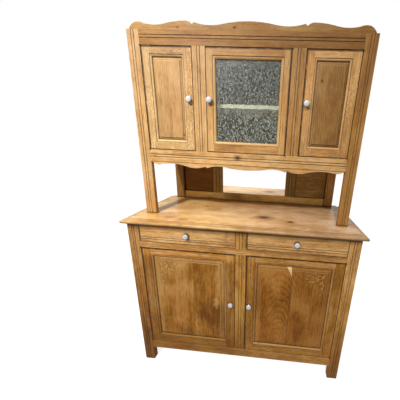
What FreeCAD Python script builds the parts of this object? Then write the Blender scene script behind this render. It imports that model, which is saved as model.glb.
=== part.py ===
"""Step back cupboard in oak: a low case with two panelled doors and two drawers under a moulded
counter, and a shallower upper case on four posts with a glazed door between two panelled ones.

Every position is in millimetres. Across is X, deep is Y and is counted back from the front face
of the lower case, high is Z and is counted from the floor. The origin lies on the floor under the
middle of the whole cupboard, and front_plane moves the deep positions there.
"""
import FreeCAD, Part
import math
import os
import re
import Sketcher
from FreeCAD import Rotation, Vector

doc = FreeCAD.newDocument("step_back_cupboard")
sheet = doc.addObject("Spreadsheet::Sheet", "Size")

SIZES = (
    # the lower case
    ("front_plane", -235, "front face of the lower case, from the middle of the cupboard"),
    ("half_width", 600, "middle to the outer face of a leg"),
    ("case_depth", 500, "front face to back of the lower case"),
    ("leg_width", 59, "front leg, seen from the front"),
    ("leg_depth", 30, "front leg, front to back"),
    ("rear_leg", 42, "rear leg, both ways"),
    ("foot_bevel", 4, "eased end of a foot"),
    ("plinth_low", 95, "underside of the bottom front rail"),
    ("plinth_top", 156, "top of the bottom front rail"),
    ("plinth_round", 6, "rounded edges of the bottom front rail"),
    ("quarter_rise", 0.2929, "rise of a quarter round over its chord, for a radius of 1"),
    ("waist_low", 794, "underside of the rail below the drawers"),
    ("waist_top", 827, "top of the rail below the drawers"),
    ("rail_thick", 24, "rails and muntins"),
    ("centre_stile", 56, "stile between the lower doors and between the drawers"),
    ("side_rail", 80, "height of the side and back rails"),
    # the counter
    ("counter_low", 930, "underside of the counter"),
    ("counter_thick", 24, "counter"),
    ("counter_front", 24.5, "counter past the front face"),
    ("counter_side", 20, "counter past the legs"),
    ("mould_width", 29.6, "moulded edge of the counter"),
    ("mould_step", 2.5, "sunk fillet behind the moulded edge"),
    ("nose_high", 18.5, "height of the rounded nose"),
    ("nose_flat", 13, "nose tip to the start of the hollow"),
    ("hollow", 1.6, "depth of the hollow between fillet and nose"),
    # the upper case
    ("set_back", 101, "front face of the upper case behind that of the lower"),
    ("upper_half", 551, "middle to the outer face of a post"),
    ("post_width", 55, "front post, seen from the front"),
    ("post_thick", 22, "front posts and upper front rails"),
    ("rear_post", 54, "rear post, seen from the front"),
    ("rear_post_deep", 42, "rear post, front to back"),
    ("top_high", 1818, "top of the posts"),
    ("head_low", 1758.5, "underside of the upper top rail"),
    ("breast_low", 1242, "underside of the upper bottom rail"),
    ("breast_top", 1301.5, "top of the upper bottom rail"),
    ("mullion_mid", 225.5, "middle of the cupboard to the middle of a mullion"),
    ("mullion_width", 60, "mullion beside the glazed door"),
    ("apron_back", 2.5, "apron behind the face of the rail"),
    ("apron_thick", 14, "scalloped apron"),
    # reeds: the round grooves cut along the frame
    ("reed_width", 3.6, "a reed groove"),
    ("reed_deep", 1.9, "a reed groove"),
    ("reed_pair", 12, "between the two grooves of a pair"),
    ("top_rail_reed", 33.6, "middle of the top rail's grooves, over its underside"),
    ("breast_rail_reed", 30, "middle of the bottom rail's grooves, over its underside"),
    ("drawer_reed", 22, "middle of a drawer's grooves, over its lower edge"),
    ("centre_pair", 14, "between the grooves of the lower centre stile"),
    ("post_reed", 525.5, "middle to the pair of grooves on a post"),
    # panels that sit in grooves
    ("groove_in", 8, "face of a frame to its panel groove"),
    ("back_panel", 10, "flat panels and boards"),
    ("tongue", 7, "panel edge inside its groove"),
    ("groove_deep", 8, "panel groove"),
    # the back of the niche
    ("back_face", 470, "front of the rails and stiles of the back"),
    ("niche_rail_top", 1003.5, "top of the rail along the counter"),
    ("niche_stile_in", 221, "middle to the near edge of a niche stile"),
    ("niche_stile_out", 287, "middle to the far edge of a niche stile"),
    ("niche_pair", 19, "between the grooves of a niche stile"),
    ("mirror_thick", 4, "mirror glass and window glass"),
    # doors
    ("lower_stile", 48, "stile of a lower door"),
    ("lower_foot", 43.8, "bottom rail of a lower door"),
    ("lower_head", 35, "top rail of a lower door"),
    ("lower_mould", 10.5, "moulding of a lower door"),
    ("lower_border", 20, "sight edge to the raised field of a lower door"),
    ("upper_stile", 38, "stile of an upper panelled door"),
    ("upper_foot", 37.5, "bottom rail of an upper door"),
    ("upper_head", 31.5, "top rail of an upper door"),
    ("upper_mould", 9.5, "moulding of an upper panelled door"),
    ("upper_border", 12, "sight edge to the raised field of an upper door"),
    ("glazed_stile", 31, "stile of the glazed door"),
    ("glazed_mould", 12.5, "moulding of the glazed door"),
    ("door_thick", 22, "doors and drawer fronts"),
    ("hinge_gap", 3, "door edge to stile at the hinges"),
    ("free_gap", 2.5, "door edge to stile at the knob"),
    ("end_gap", 3.2, "door to rail, above and below"),
    ("door_step", 1.2, "fillet round a door moulding"),
    ("door_drop", 6.5, "door face to the sight edge of the moulding"),
    ("ovolo", 1.9, "rise of the rounded moulding over its chord"),
    ("tongue_front", 9, "door face to the front of the panel groove"),
    ("tongue_back", 15, "door face to the back of the panel groove"),
    ("flat_edge", 1, "sight edge to the start of a panel's slope"),
    ("field_face", 3.3, "door face to the raised field"),
    ("field_edge", 4.8, "door face to the foot of the step round the field"),
    ("overcut", 1, "cutter past the faces that it cuts"),
    # hinges and knobs
    ("pivot_out", 3, "hinge pin in front of the door face"),
    ("ear_round", 3, "half width of a hinge leaf round its pin"),
    ("ear_clip", 1.5, "clipped corner of that end"),
    ("pin_round", 1.4, "radius of a hinge pin"),
    ("pin_bore", 1.45, "radius of the hole for a hinge pin"),
    ("leaf_thick", 1.5, "hinge leaf"),
    ("leaf_long", 44, "pin to the end of a leaf"),
    ("leaf_wide", 10, "hinge leaf"),
    ("leaf_in", 1.5, "door face to the front edge of a leaf"),
    ("leaf_end", 1.1, "end of a leaf past its pin"),
    ("knob_round", 14, "radius of a knob"),
    ("knob_out", 25, "knob out from the door"),
    ("knob_neck", 5.5, "radius of a knob's neck"),
    ("lower_knob", 480, "height of the knobs of the lower doors"),
    ("lower_knob_side", 51.5, "middle of the cupboard to those knobs"),
    ("upper_knob", 1539, "height of the knobs of the upper doors"),
    ("upper_knob_side", 275.5, "middle of the cupboard to the outer two"),
    ("glazed_knob_side", 178, "middle of the cupboard to the glazed door's knob"),
    ("drawer_knob", 878, "height of the drawer knobs"),
    ("drawer_knob_side", 285, "middle of the cupboard to the drawer knobs"),
    # drawers and shelves
    ("drawer_gap", 2, "drawer front to the frame around it"),
    ("drawer_long", 420, "drawer side"),
    ("drawer_side", 12, "thickness of a drawer side"),
    ("drawer_high", 84, "height of a drawer side"),
    ("drawer_floor", 8, "thickness of a drawer bottom"),
    ("drawer_play", 0.4, "drawer side over its runner"),
    ("drawer_sink", 8, "runner to the underside of a drawer bottom"),
    ("bottom_groove", 6, "groove that holds a drawer bottom"),
    ("runner", 40, "width of the side runners and kickers"),
    ("middle_runner", 88, "width of the middle runner and kicker"),
    ("kicker", 14, "thickness of a kicker"),
    ("board", 18, "shelves, floors and roof"),
    ("cleat", 20, "shelf cleats and drawer runners"),
    ("cleat_hold", 8, "cleat let in past the inner face of a lower post"),
    ("shelf_play", 2, "shelf to the posts"),
    ("lower_shelf", 458, "top of the lower shelf"),
    ("upper_shelf", 1534, "top of the upper shelf"),
    ("shelf_back", 49, "front of the upper shelf behind the door faces"),
)

for row, (alias, number, note) in enumerate(SIZES, start=1):
    sheet.set(f"A{row}", note)
    sheet.set(f"B{row}", str(number))
    sheet.setAlias(f"B{row}", alias)
doc.recompute()

NODES = []


def bound(words):
    """The expression with every size name pointed at its cell in the sheet."""
    return re.sub(r"[a-z][a-z_]*", r"Size.\g<0>", str(words))


def size(words):
    """The present value of an expression of size names."""
    return float(sheet.evalExpression(bound(words)))


def node(label, piece):
    """Name a finished piece and keep it for its STEP file."""
    piece.Label = label
    NODES.append(piece)
    return piece


def place(piece, across, deep, high):
    """Put a piece at a position given in the words of the sheet."""
    for axis, words in (("x", across), ("y", f"front_plane + {deep}"), ("z", high)):
        piece.setExpression(f"Placement.Base.{axis}", bound(words))
    return piece


def arc_edge(start, end, sagitta):
    """The arc from start to end that stands out by sagitta to the right of the way, and
    whether it runs the way a sketch arc does, against the clock."""
    chord = end.sub(start)
    radius = (chord.Length ** 2 / 4 + sagitta ** 2) / (2 * abs(sagitta))
    right = Vector(chord.y, -chord.x, 0).normalize()
    side = math.copysign(1, sagitta)
    centre = (start + end) * 0.5 - right * (side * (radius - abs(sagitta)))
    circle = Part.Circle(centre, Vector(0, 0, 1), radius)
    first, last = (start, end) if side > 0 else (end, start)
    return Part.ArcOfCircle(circle, circle.parameter(first), circle.parameter(last)), side > 0


def pin_centre(sketch, edge, arc, chord):
    """Hold an arc's centre along the line that halves its chord."""
    if abs(chord.y) > abs(chord.x):
        sketch.addConstraint(Sketcher.Constraint("DistanceX", edge, 3, arc.Center.x))
    else:
        sketch.addConstraint(Sketcher.Constraint("DistanceY", edge, 3, arc.Center.y))


def outline(body, plane, corners, name="Outline"):
    """A closed sketch on one of the body's own planes. A corner is (along, up), or
    (along, up, sagitta) where the edge to the next corner is an arc."""
    sketch = body.newObject("Sketcher::SketchObject", name)
    ground = next(part for part in body.Origin.OriginFeatures if part.Role == plane)
    sketch.AttachmentSupport = [(ground, "")]
    sketch.MapMode = "FlatFace"
    points = [Vector(size(corner[0]), size(corner[1]), 0) for corner in corners]
    ends = []
    for index, corner in enumerate(corners):
        start, end = points[index], points[(index + 1) % len(points)]
        if len(corner) == 2:
            edge = sketch.addGeometry(Part.LineSegment(start, end))
            ends.append((edge, 1, 2))
            continue
        arc, forward = arc_edge(start, end, size(corner[2]))
        edge = sketch.addGeometry(arc)
        pin_centre(sketch, edge, arc, end.sub(start))
        ends.append((edge, 1, 2) if forward else (edge, 2, 1))
    for index, (edge, first, last) in enumerate(ends):
        after, after_first, _ = ends[(index + 1) % len(ends)]
        sketch.addConstraint(Sketcher.Constraint("Coincident", edge, last, after, after_first))
        for kind, words, number in (("DistanceX", corners[index][0], points[index].x),
                                    ("DistanceY", corners[index][1], points[index].y)):
            which = sketch.addConstraint(Sketcher.Constraint(kind, edge, first, number))
            sketch.setExpression(f"Constraints[{which}]", bound(words))
    return sketch


def padded(name, plane, corners, length):
    """A body with one section pushed out along +X, +Y or +Z by the length."""
    body = doc.addObject("PartDesign::Body", name)
    pad = body.newObject("PartDesign::Pad", "Pad")
    pad.Profile = outline(body, plane, corners)
    pad.Reversed = plane == "XZ_Plane"
    pad.setExpression("Length", bound(length))
    body.Tip = pad
    doc.recompute()
    return body


def board(name, across, deep, high):
    """A plain board from its (low, high) positions across, deep and high."""
    box = doc.addObject("Part::Box", name)
    for side, (low, top) in zip(("Length", "Width", "Height"), (across, deep, high)):
        box.setExpression(side, bound(f"({top}) - ({low})"))
    return place(box, across[0], deep[0], high[0])


def group(name, pieces):
    """Separate solids that share one node."""
    bundle = doc.addObject("Part::Compound", name)
    bundle.Links = pieces
    return bundle


def less(name, base, tools):
    """The base with the tools cut out of it."""
    cut = doc.addObject("Part::Cut", name)
    cut.Base = base
    cut.Tool = tools[0] if len(tools) == 1 else group(f"{name}_tools", tools)
    return cut


def common(name, first, second):
    """What the two solids share."""
    both = doc.addObject("Part::Common", name)
    both.Base = first
    both.Tool = second
    return both


def mirrored(name, piece):
    """The piece on the other side of the cupboard's middle."""
    twin = doc.addObject("Part::Mirroring", name)
    twin.Source = piece
    twin.Normal = (1, 0, 0)
    return twin


def pair(name, piece):
    """The piece and its twin on the other side, as one node."""
    return group(name, [piece, mirrored(f"{name}_twin", piece)])


def copy_at(name, piece, across, deep, high):
    """A copy of a piece that was modelled at the origin."""
    link = doc.addObject("App::Link", name)
    link.LinkedObject = piece
    return place(link, across, deep, high)


def reed(middle):
    """Corners of one round groove along a face, met left to right."""
    return [(f"{middle} - reed_width / 2", "0", "-reed_deep"), (f"{middle} + reed_width / 2", "0")]


def reeds(middle, apart="reed_pair"):
    """Corners of a pair of grooves along a face."""
    return reed(f"{middle} - {apart} / 2") + reed(f"{middle} + {apart} / 2")


def reeds_down(middle):
    """Corners of a pair of grooves in an upright face, met from the top."""
    corners = []
    for groove in (f"{middle} + reed_pair / 2", f"{middle} - reed_pair / 2"):
        corners.append(("0", f"{groove} + reed_width / 2", "-reed_deep"))
        corners.append(("0", f"{groove} - reed_width / 2"))
    return corners


def seat(name, across, deep, high, open_sides=""):
    """The room that a panel and its groove take in the frame around it. A side named in
    open_sides is met by no groove."""
    grow = {side: "0" if side in open_sides else "groove_deep" for side in "lrbt"}
    return board(
        name,
        (f"{across[0]} - {grow['l']}", f"{across[1]} + {grow['r']}"),
        deep,
        (f"{high[0]} - {grow['b']}", f"{high[1]} + {grow['t']}"),
    )


# ---------------------------------------------------------------- grooves for the flat panels
BACK_GROOVE = ("back_face + groove_in", "back_face + groove_in + back_panel")
SIDE_LOW = ("plinth_low + side_rail", "counter_low - side_rail")
SIDE_HIGH = ("breast_top", "head_low")
LEG_INSIDE = "half_width - rear_leg"
POST_INSIDE = "upper_half - rear_post"
MUNTIN = "centre_stile / 2"


def side_seat(name, outer, deep, high):
    """Groove room of a side panel: thin across, long front to back."""
    low, top = deep
    return board(
        name,
        (f"{outer} - groove_in - back_panel", f"{outer} - groove_in"),
        (f"{low} - groove_deep", f"{top} + groove_deep"),
        (f"{high[0]} - groove_deep", f"{high[1]} + groove_deep"),
    )


lower_side_seat = side_seat(
    "lower_side_seat", "half_width", ("leg_depth", "case_depth - rear_leg"), SIDE_LOW)
upper_side_seat = side_seat(
    "upper_side_seat", "upper_half",
    ("set_back + post_thick", "case_depth - rear_post_deep"), SIDE_HIGH)
lower_back_seat = seat("lower_back_seat", (MUNTIN, LEG_INSIDE), BACK_GROOVE, SIDE_LOW)
niche_seat = seat(
    "niche_seat", ("niche_stile_out", POST_INSIDE), BACK_GROOVE, ("niche_rail_top", "breast_low"))
mirror_seat = seat(
    "mirror_seat", ("-niche_stile_in", "niche_stile_in"), BACK_GROOVE,
    ("niche_rail_top", "breast_low"))
upper_back_seat = seat(
    "upper_back_seat", (f"-({POST_INSIDE})", POST_INSIDE), BACK_GROOVE,
    ("breast_top", "top_high"), open_sides="t")


# ---------------------------------------------------------------- lower case: legs and rails
def front_legs():
    """Reeded stiles that run down to the floor as feet."""
    corners = [("0", "0")] + reeds("leg_width / 2")
    corners += [("leg_width", "0"), ("leg_width", "leg_depth"), ("0", "leg_depth")]
    leg = padded("front_leg", "XY_Plane", corners, "counter_low")
    ease_foot(leg)
    place(leg, "-half_width", "0", "0")
    left = less("front_leg_left", leg, [mirrored("side_seat_left", lower_side_seat)])
    return node("front_legs", pair("front_legs", left))


def ease_foot(leg):
    """A small bevel on both sides of the end grain that stands on the floor."""
    pad = leg.Tip
    floor_edges = []
    for index, edge in enumerate(pad.Shape.Edges, start=1):
        box = edge.BoundBox
        if box.ZMax < 0.01 and box.XLength < 0.01:
            floor_edges.append(f"Edge{index}")
    bevel = leg.newObject("PartDesign::Chamfer", "FootBevel")
    bevel.Base = (pad, floor_edges)
    bevel.setExpression("Size", bound("foot_bevel"))
    leg.Tip = bevel


def rear_legs():
    """Square posts that take the side and back panels in grooves."""
    corners = [("0", "0"), ("rear_leg", "0"), ("rear_leg", "rear_leg"), ("0", "rear_leg")]
    leg = padded("rear_leg_post", "XY_Plane", corners, "counter_low")
    ease_foot(leg)
    place(leg, LEG_INSIDE, "case_depth - rear_leg", "0")
    right = less("rear_leg_right", leg, [lower_side_seat, lower_back_seat])
    return node("rear_legs", pair("rear_legs", right))


OPENING_LEFT = "leg_width - half_width"
OPENING_RIGHT = "half_width - leg_width"


def plinth_rail():
    """Bottom front rail with its upper and lower edges rounded over."""
    corners = [
        ("plinth_round", "0"),
        ("rail_thick", "0"),
        ("rail_thick", "plinth_top - plinth_low"),
        ("plinth_round", "plinth_top - plinth_low", "plinth_round * quarter_rise"),
        ("0", "plinth_top - plinth_low - plinth_round"),
        ("0", "plinth_round", "plinth_round * quarter_rise"),
    ]
    rail = padded("plinth_rail", "YZ_Plane", corners, "2 * half_width - 2 * leg_width")
    place(rail, OPENING_LEFT, "0", "plinth_low")
    return node("plinth_rail", rail)


def waist_rail():
    """Rail between the lower doors and the drawers, laid flat."""
    rail = board(
        "waist_rail", (OPENING_LEFT, OPENING_RIGHT), ("0", "leg_depth"), ("waist_low", "waist_top"))
    return node("waist_rail", rail)


def centre_stiles():
    """Reeded stiles on the middle line, below and above the waist rail."""
    corners = [("0", "0")] + reeds("centre_stile / 2", "centre_pair")
    corners += [("centre_stile", "0"), ("centre_stile", "rail_thick"), ("0", "rail_thick")]
    low = padded("centre_stile_low", "XY_Plane", corners, "waist_low - plinth_top")
    place(low, "-centre_stile / 2", "0", "plinth_top")
    high = padded("centre_stile_high", "XY_Plane", corners, "counter_low - waist_top")
    place(high, "-centre_stile / 2", "0", "waist_top")
    return node("centre_stiles", group("centre_stiles", [low, high]))


def lower_sides():
    """Two rails and a flat panel on each side."""
    across = ("half_width - rail_thick", "half_width")
    deep = ("leg_depth", "case_depth - rear_leg")
    rails = [
        board("side_rail_low", across, deep, ("plinth_low", SIDE_LOW[0])),
        board("side_rail_high", across, deep, (SIDE_LOW[1], "counter_low")),
    ]
    cut = less("side_rails_right", group("side_rails", rails), [lower_side_seat])
    node("lower_side_rails", pair("lower_side_rails", cut))
    panel = side_panel("lower_side_panel", "half_width", deep, SIDE_LOW)
    node("lower_side_panels", pair("lower_side_panels", panel))


def side_panel(name, outer, deep, high):
    """A flat panel whose edges lie in the grooves of the side's frame."""
    return board(
        name,
        (f"{outer} - groove_in - back_panel", f"{outer} - groove_in"),
        (f"{deep[0]} - tongue", f"{deep[1]} + tongue"),
        (f"{high[0]} - tongue", f"{high[1]} + tongue"),
    )


def flat_panel(name, across, high):
    """A flat panel of the back, with its edges in the grooves."""
    return board(
        name,
        (f"{across[0]} - tongue", f"{across[1]} + tongue"),
        BACK_GROOVE,
        (f"{high[0]} - tongue", f"{high[1]} + tongue"),
    )


def lower_back():
    """Rails, a muntin and two flat panels close the back."""
    deep = ("back_face", "back_face + rail_thick")
    across = (f"-({LEG_INSIDE})", LEG_INSIDE)
    frame = group("back_frame", [
        board("back_rail_low", across, deep, ("plinth_low", SIDE_LOW[0])),
        board("back_rail_high", across, deep, (SIDE_LOW[1], "counter_low")),
        board("back_muntin", (f"-{MUNTIN}", MUNTIN), deep, SIDE_LOW),
    ])
    seats = [lower_back_seat, mirrored("back_seat_left", lower_back_seat)]
    node("lower_back_frame", less("lower_back_frame", frame, seats))
    panel = flat_panel("lower_back_panel", (MUNTIN, LEG_INSIDE), SIDE_LOW)
    node("lower_back_panels", pair("lower_back_panels", panel))


def case_board(name, right, high):
    """A board across a case. right holds its (across, deep) corners on the right half, front
    to back, notched round the posts; the left half matches."""
    left = [(f"-({across})", deep) for across, deep in reversed(right)]
    body = padded(name, "XY_Plane", right + left, "board")
    place(body, "0", "0", high)
    return node(name, body)


def lower_boards():
    """Floor and shelf of the lower case."""
    wall = "half_width - rail_thick"
    rear = "case_depth - rear_leg"
    case_board("lower_floor", [
        (OPENING_RIGHT, "rail_thick"), (OPENING_RIGHT, "leg_depth"), (wall, "leg_depth"),
        (wall, rear), (LEG_INSIDE, rear), (LEG_INSIDE, "back_face")], "plinth_top - board")
    shelf = board(
        "lower_shelf", (f"shelf_play - ({LEG_INSIDE})", f"{LEG_INSIDE} - shelf_play"),
        ("set_back - post_thick", "back_face"), ("lower_shelf - board", "lower_shelf"))
    node("lower_shelf", shelf)


def shelf_cleats():
    """Battens fixed between the posts, under the ends of both shelves."""
    low = board(
        "cleat_low", (f"{LEG_INSIDE} + cleat_hold - cleat", f"{LEG_INSIDE} + cleat_hold"),
        ("leg_depth", "case_depth - rear_leg"),
        ("lower_shelf - board - cleat", "lower_shelf - board"))
    high = board(
        "cleat_high", (f"{POST_INSIDE} + board - cleat", f"{POST_INSIDE} + board"),
        ("set_back + post_thick", "case_depth - rear_post_deep"),
        ("upper_shelf - board - cleat", "upper_shelf - board"))
    node("shelf_cleats", pair("shelf_cleats", group("cleats", [low, high])))


SIDE_RUNNER = ("half_width - rail_thick - runner", "half_width - rail_thick")
GUIDE = "half_width - leg_width"


def drawer_runners():
    """Runners under the drawers, guides beside them and kickers above."""
    deep = ("leg_depth", "case_depth - rear_leg")
    side = [
        board("runner_side", SIDE_RUNNER, deep, ("waist_top - cleat", "waist_top")),
        board("guide_side", (GUIDE, SIDE_RUNNER[1]), deep, ("waist_top", "waist_top + cleat")),
        board("kicker_side", SIDE_RUNNER, deep, ("counter_low - kicker", "counter_low")),
    ]
    long = ("leg_depth", "back_face")
    wide = ("-middle_runner / 2", "middle_runner / 2")
    between = (f"shelf_play - {MUNTIN}", f"{MUNTIN} - shelf_play")
    middle = [
        board("runner_middle", wide, long, ("waist_top - cleat", "waist_top")),
        board("guide_middle", between, long, ("waist_top", "waist_top + cleat")),
        board("kicker_middle", wide, long, ("counter_low - kicker", "counter_low")),
    ]
    both_sides = pair("side_runners", group("side_runner", side))
    node("drawer_runners", group("drawer_runners", [both_sides] + middle))


# ---------------------------------------------------------------- counter
def left_edge(tip):
    """Corners of the moulded edge on the low side of a section, met from the top: a sunk
    fillet, a shallow hollow and a rounded nose."""
    return [
        (f"{tip} + mould_width", "counter_thick"),
        (f"{tip} + mould_width", "counter_thick - mould_step", "-hollow"),
        (f"{tip} + nose_flat", "nose_high"),
        (f"{tip} + nose_high / 2", "nose_high", "nose_high / 2"),
        (f"{tip} + nose_high / 2", "0"),
    ]


def right_edge(tip):
    """The same edge on the high side of a section, met from the underside."""
    return [
        (f"{tip} - nose_high / 2", "0", "nose_high / 2"),
        (f"{tip} - nose_high / 2", "nose_high"),
        (f"{tip} - nose_flat", "nose_high", "-hollow"),
        (f"{tip} - mould_width", "counter_thick - mould_step"),
        (f"{tip} - mould_width", "counter_thick"),
    ]


def countertop():
    """A board moulded on its front and both ends: the two moulded sections meet in mitres."""
    section = left_edge("-counter_front")
    section += [("case_depth", "0"), ("case_depth", "counter_thick")]
    long = padded("counter_long", "YZ_Plane", section, "2 * half_width + 2 * counter_side")
    place(long, "-half_width - counter_side", "0", "counter_low")
    ends = left_edge("-half_width - counter_side") + right_edge("half_width + counter_side")
    wide = padded("counter_wide", "XZ_Plane", ends, "case_depth + counter_front")
    place(wide, "0", "-counter_front", "counter_low")
    return node("countertop", common("countertop", long, wide))


# ---------------------------------------------------------------- upper case
def upper_front_posts():
    """Reeded boards that stand on the counter."""
    start = "upper_half - post_width"
    corners = [("0", "0")] + reeds(f"post_reed - ({start})")
    corners += [("post_width", "0"), ("post_width", "post_thick"), ("0", "post_thick")]
    foot = "counter_low + counter_thick"
    post = padded("front_post", "XY_Plane", corners, f"top_high - ({foot})")
    place(post, start, "set_back", foot)
    right = less("front_post_right", post, [upper_side_seat])
    node("upper_front_posts", pair("upper_front_posts", right))


def upper_rear_posts():
    """Posts behind, which also hold the ends of the niche's panels."""
    foot = "counter_low + counter_thick"
    corners = [
        ("0", "0"), ("rear_post", "0"), ("rear_post", "rear_post_deep"), ("0", "rear_post_deep")]
    post = padded("rear_post_board", "XY_Plane", corners, f"top_high - ({foot})")
    place(post, POST_INSIDE, "case_depth - rear_post_deep", foot)
    right = less("rear_post_right", post, [upper_side_seat, niche_seat, upper_back_seat])
    node("upper_rear_posts", pair("upper_rear_posts", right))


POST_GAP = ("post_width - upper_half", "upper_half - post_width")
RAIL_LENGTH = "2 * upper_half - 2 * post_width"


def reeded_rail(name, low, top, middle):
    """An upper front rail with a pair of grooves along its face."""
    corners = [("0", "0"), ("post_thick", "0"), ("post_thick", f"{top} - {low}")]
    corners += [("0", f"{top} - {low}")] + reeds_down(middle)
    rail = padded(name, "YZ_Plane", corners, RAIL_LENGTH)
    place(rail, POST_GAP[0], "set_back", low)
    return node(name, rail)


def mullions():
    """Reeded stiles on each side of the glazed door."""
    corners = [("0", "0")] + reeds("mullion_width / 2")
    corners += [("mullion_width", "0"), ("mullion_width", "post_thick"), ("0", "post_thick")]
    stile = padded("mullion", "XY_Plane", corners, "head_low - breast_top")
    place(stile, "mullion_mid - mullion_width / 2", "set_back", "breast_top")
    node("mullions", pair("mullions", stile))


def both_halves(half):
    """Corners of a whole outline from one half, met from its outer end to the middle. The last
    edge of the half crosses the middle line."""
    other = []
    for index in range(len(half) - 1, -1, -1):
        across, up = half[index][:2]
        bend = half[index - 1][2:] if index else ()
        other.append((f"-({across})", up) + bend)
    return half + other


def crest():
    """Scalloped crest over the top rail: a low arch, a notch and an ogee down to each post."""
    half = [
        ("538", "0", "3.3"),
        ("510", "25", "3.4"),
        ("468", "22", "-6.4"),
        ("362", "24.5", "1.8"),
        ("283", "33.3", "4.1"),
        ("249.5", "20.5"),
        ("242", "28.5", "-8"),
        ("110", "24", "10"),
    ]
    piece = padded("crest", "XZ_Plane", both_halves(half), "post_thick")
    place(piece, "0", "set_back", "top_high")
    return node("crest", piece)


def apron():
    """Scalloped apron under the upper case, set a little behind the rail's face."""
    half = [
        (POST_GAP[0], "0"),
        (POST_GAP[0], "-3", "2.4"),
        ("-456", "-17", "-9.3"),
        ("-310", "-19.5", "8.2"),
        ("-211", "-15.5"),
        ("-200", "-22.5", "-8.4"),
        ("-95", "-16.3", "7.7"),
    ]
    piece = padded("apron", "XZ_Plane", both_halves(half), "apron_thick")
    place(piece, "0", "set_back + apron_back", "breast_low")
    return node("apron", piece)


def upper_boards():
    """Floor, roof and shelf of the upper case. The roof and shelf run back to the boards."""
    wall = "upper_half - rail_thick"
    front, rear = "set_back + post_thick", "case_depth - rear_post_deep"
    for name, start, side, back, high in (
            ("upper_floor", front, wall, "back_face", "breast_top - board"),
            ("upper_roof", front, wall, BACK_GROOVE[0], "top_high - board"),
            ("upper_shelf", "set_back + shelf_back", f"{wall} - shelf_play", BACK_GROOVE[0],
             "upper_shelf - board")):
        case_board(
            name, [(side, start), (side, rear), (POST_INSIDE, rear), (POST_INSIDE, back)], high)


def upper_sides():
    """Two rails and a flat panel on each side of the upper case."""
    across = ("upper_half - rail_thick", "upper_half")
    deep = ("set_back + post_thick", "case_depth - rear_post_deep")
    rails = [
        board("upper_side_low", across, deep, ("breast_low", SIDE_HIGH[0])),
        board("upper_side_high", across, deep, (SIDE_HIGH[1], "top_high")),
    ]
    cut = less("upper_rails_right", group("upper_rails", rails), [upper_side_seat])
    node("upper_side_rails", pair("upper_side_rails", cut))
    panel = side_panel("upper_side_panel", "upper_half", deep, SIDE_HIGH)
    node("upper_side_panels", pair("upper_side_panels", panel))


def back_of_upper_case():
    """The rails, stiles, panels, mirror and boards that stand in one plane behind."""
    deep = ("back_face", "back_face + rail_thick")
    across = (f"-({POST_INSIDE})", POST_INSIDE)
    foot = "counter_low + counter_thick"
    seats = [niche_seat, mirrored("niche_seat_left", niche_seat), mirror_seat, upper_back_seat]
    rails = group("back_rail_boards", [
        board("back_rail_counter", across, deep, (foot, "niche_rail_top")),
        board("back_rail_breast", across, deep, ("breast_low", "breast_top")),
    ])
    node("niche_rails", less("niche_rails", rails, seats))
    width = "niche_stile_out - niche_stile_in"
    corners = [("0", "0")] + reeds(f"({width}) / 2", "niche_pair")
    corners += [(width, "0"), (width, "rail_thick"), ("0", "rail_thick")]
    stile = padded("niche_stile", "XY_Plane", corners, "breast_low - niche_rail_top")
    place(stile, "niche_stile_in", "back_face", "niche_rail_top")
    right = less("niche_stile_right", stile, [niche_seat, mirror_seat])
    node("niche_stiles", pair("niche_stiles", right))
    high = ("niche_rail_top", "breast_low")
    panel = flat_panel("niche_panel", ("niche_stile_out", POST_INSIDE), high)
    sight = ("-niche_stile_in - tongue", "niche_stile_in + tongue")
    rebate = ("niche_rail_top - tongue", "breast_low + tongue")
    glass_back = "back_face + groove_in + mirror_thick"
    backing = board("mirror_backing", sight, (glass_back, BACK_GROOVE[1]), rebate)
    node("niche_panels", group("niche_panels", [pair("niche_panel_pair", panel), backing]))
    node("mirror", board("mirror", sight, (BACK_GROOVE[0], glass_back), rebate))
    third = f"({POST_INSIDE}) / 3"
    edge = f"{POST_INSIDE} + tongue"
    spans = ((f"-({edge})", f"-{third}"), (f"-{third}", third), (third, edge))
    boards = []
    for number, span in enumerate(spans, start=1):
        boards.append(board(
            f"back_board_{number}", span, BACK_GROOVE, ("breast_top - tongue", "top_high")))
    node("upper_back_boards", group("upper_back_boards", boards))


# ---------------------------------------------------------------- hinges and knobs
def hinge_leaf(name, bored):
    """Flat leaf round its pin at the origin; the leaf lies over the door, towards +X."""
    front = "pivot_out + leaf_in"
    back = f"{front} + leaf_wide"
    corners = [
        ("-ear_round", "ear_clip - ear_round"),
        ("ear_clip - ear_round", "-ear_round"),
        ("ear_round - ear_clip", "-ear_round"),
        ("ear_round", "ear_clip - ear_round"),
        ("ear_round", front),
        ("leaf_long", front),
        ("leaf_long", back),
        ("-leaf_end", back),
        ("-leaf_end", "pivot_out"),
        ("-ear_round", "ear_clip"),
    ]
    leaf = padded(name, "XY_Plane", corners, "leaf_thick")
    if bored:
        eye = leaf.newObject("PartDesign::Pocket", "Eye")
        eye.Profile = ring(leaf, "XY_Plane", "pin_bore")
        eye.Type = "ThroughAll"
        eye.SideType = "Symmetric"
        leaf.Tip = eye
    else:
        pin = leaf.newObject("PartDesign::Pad", "Pin")
        pin.Profile = ring(leaf, "XY_Plane", "pin_round")
        pin.Reversed = True
        pin.setExpression("Length", bound("end_gap - leaf_thick"))
        leaf.Tip = pin
    return leaf


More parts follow.
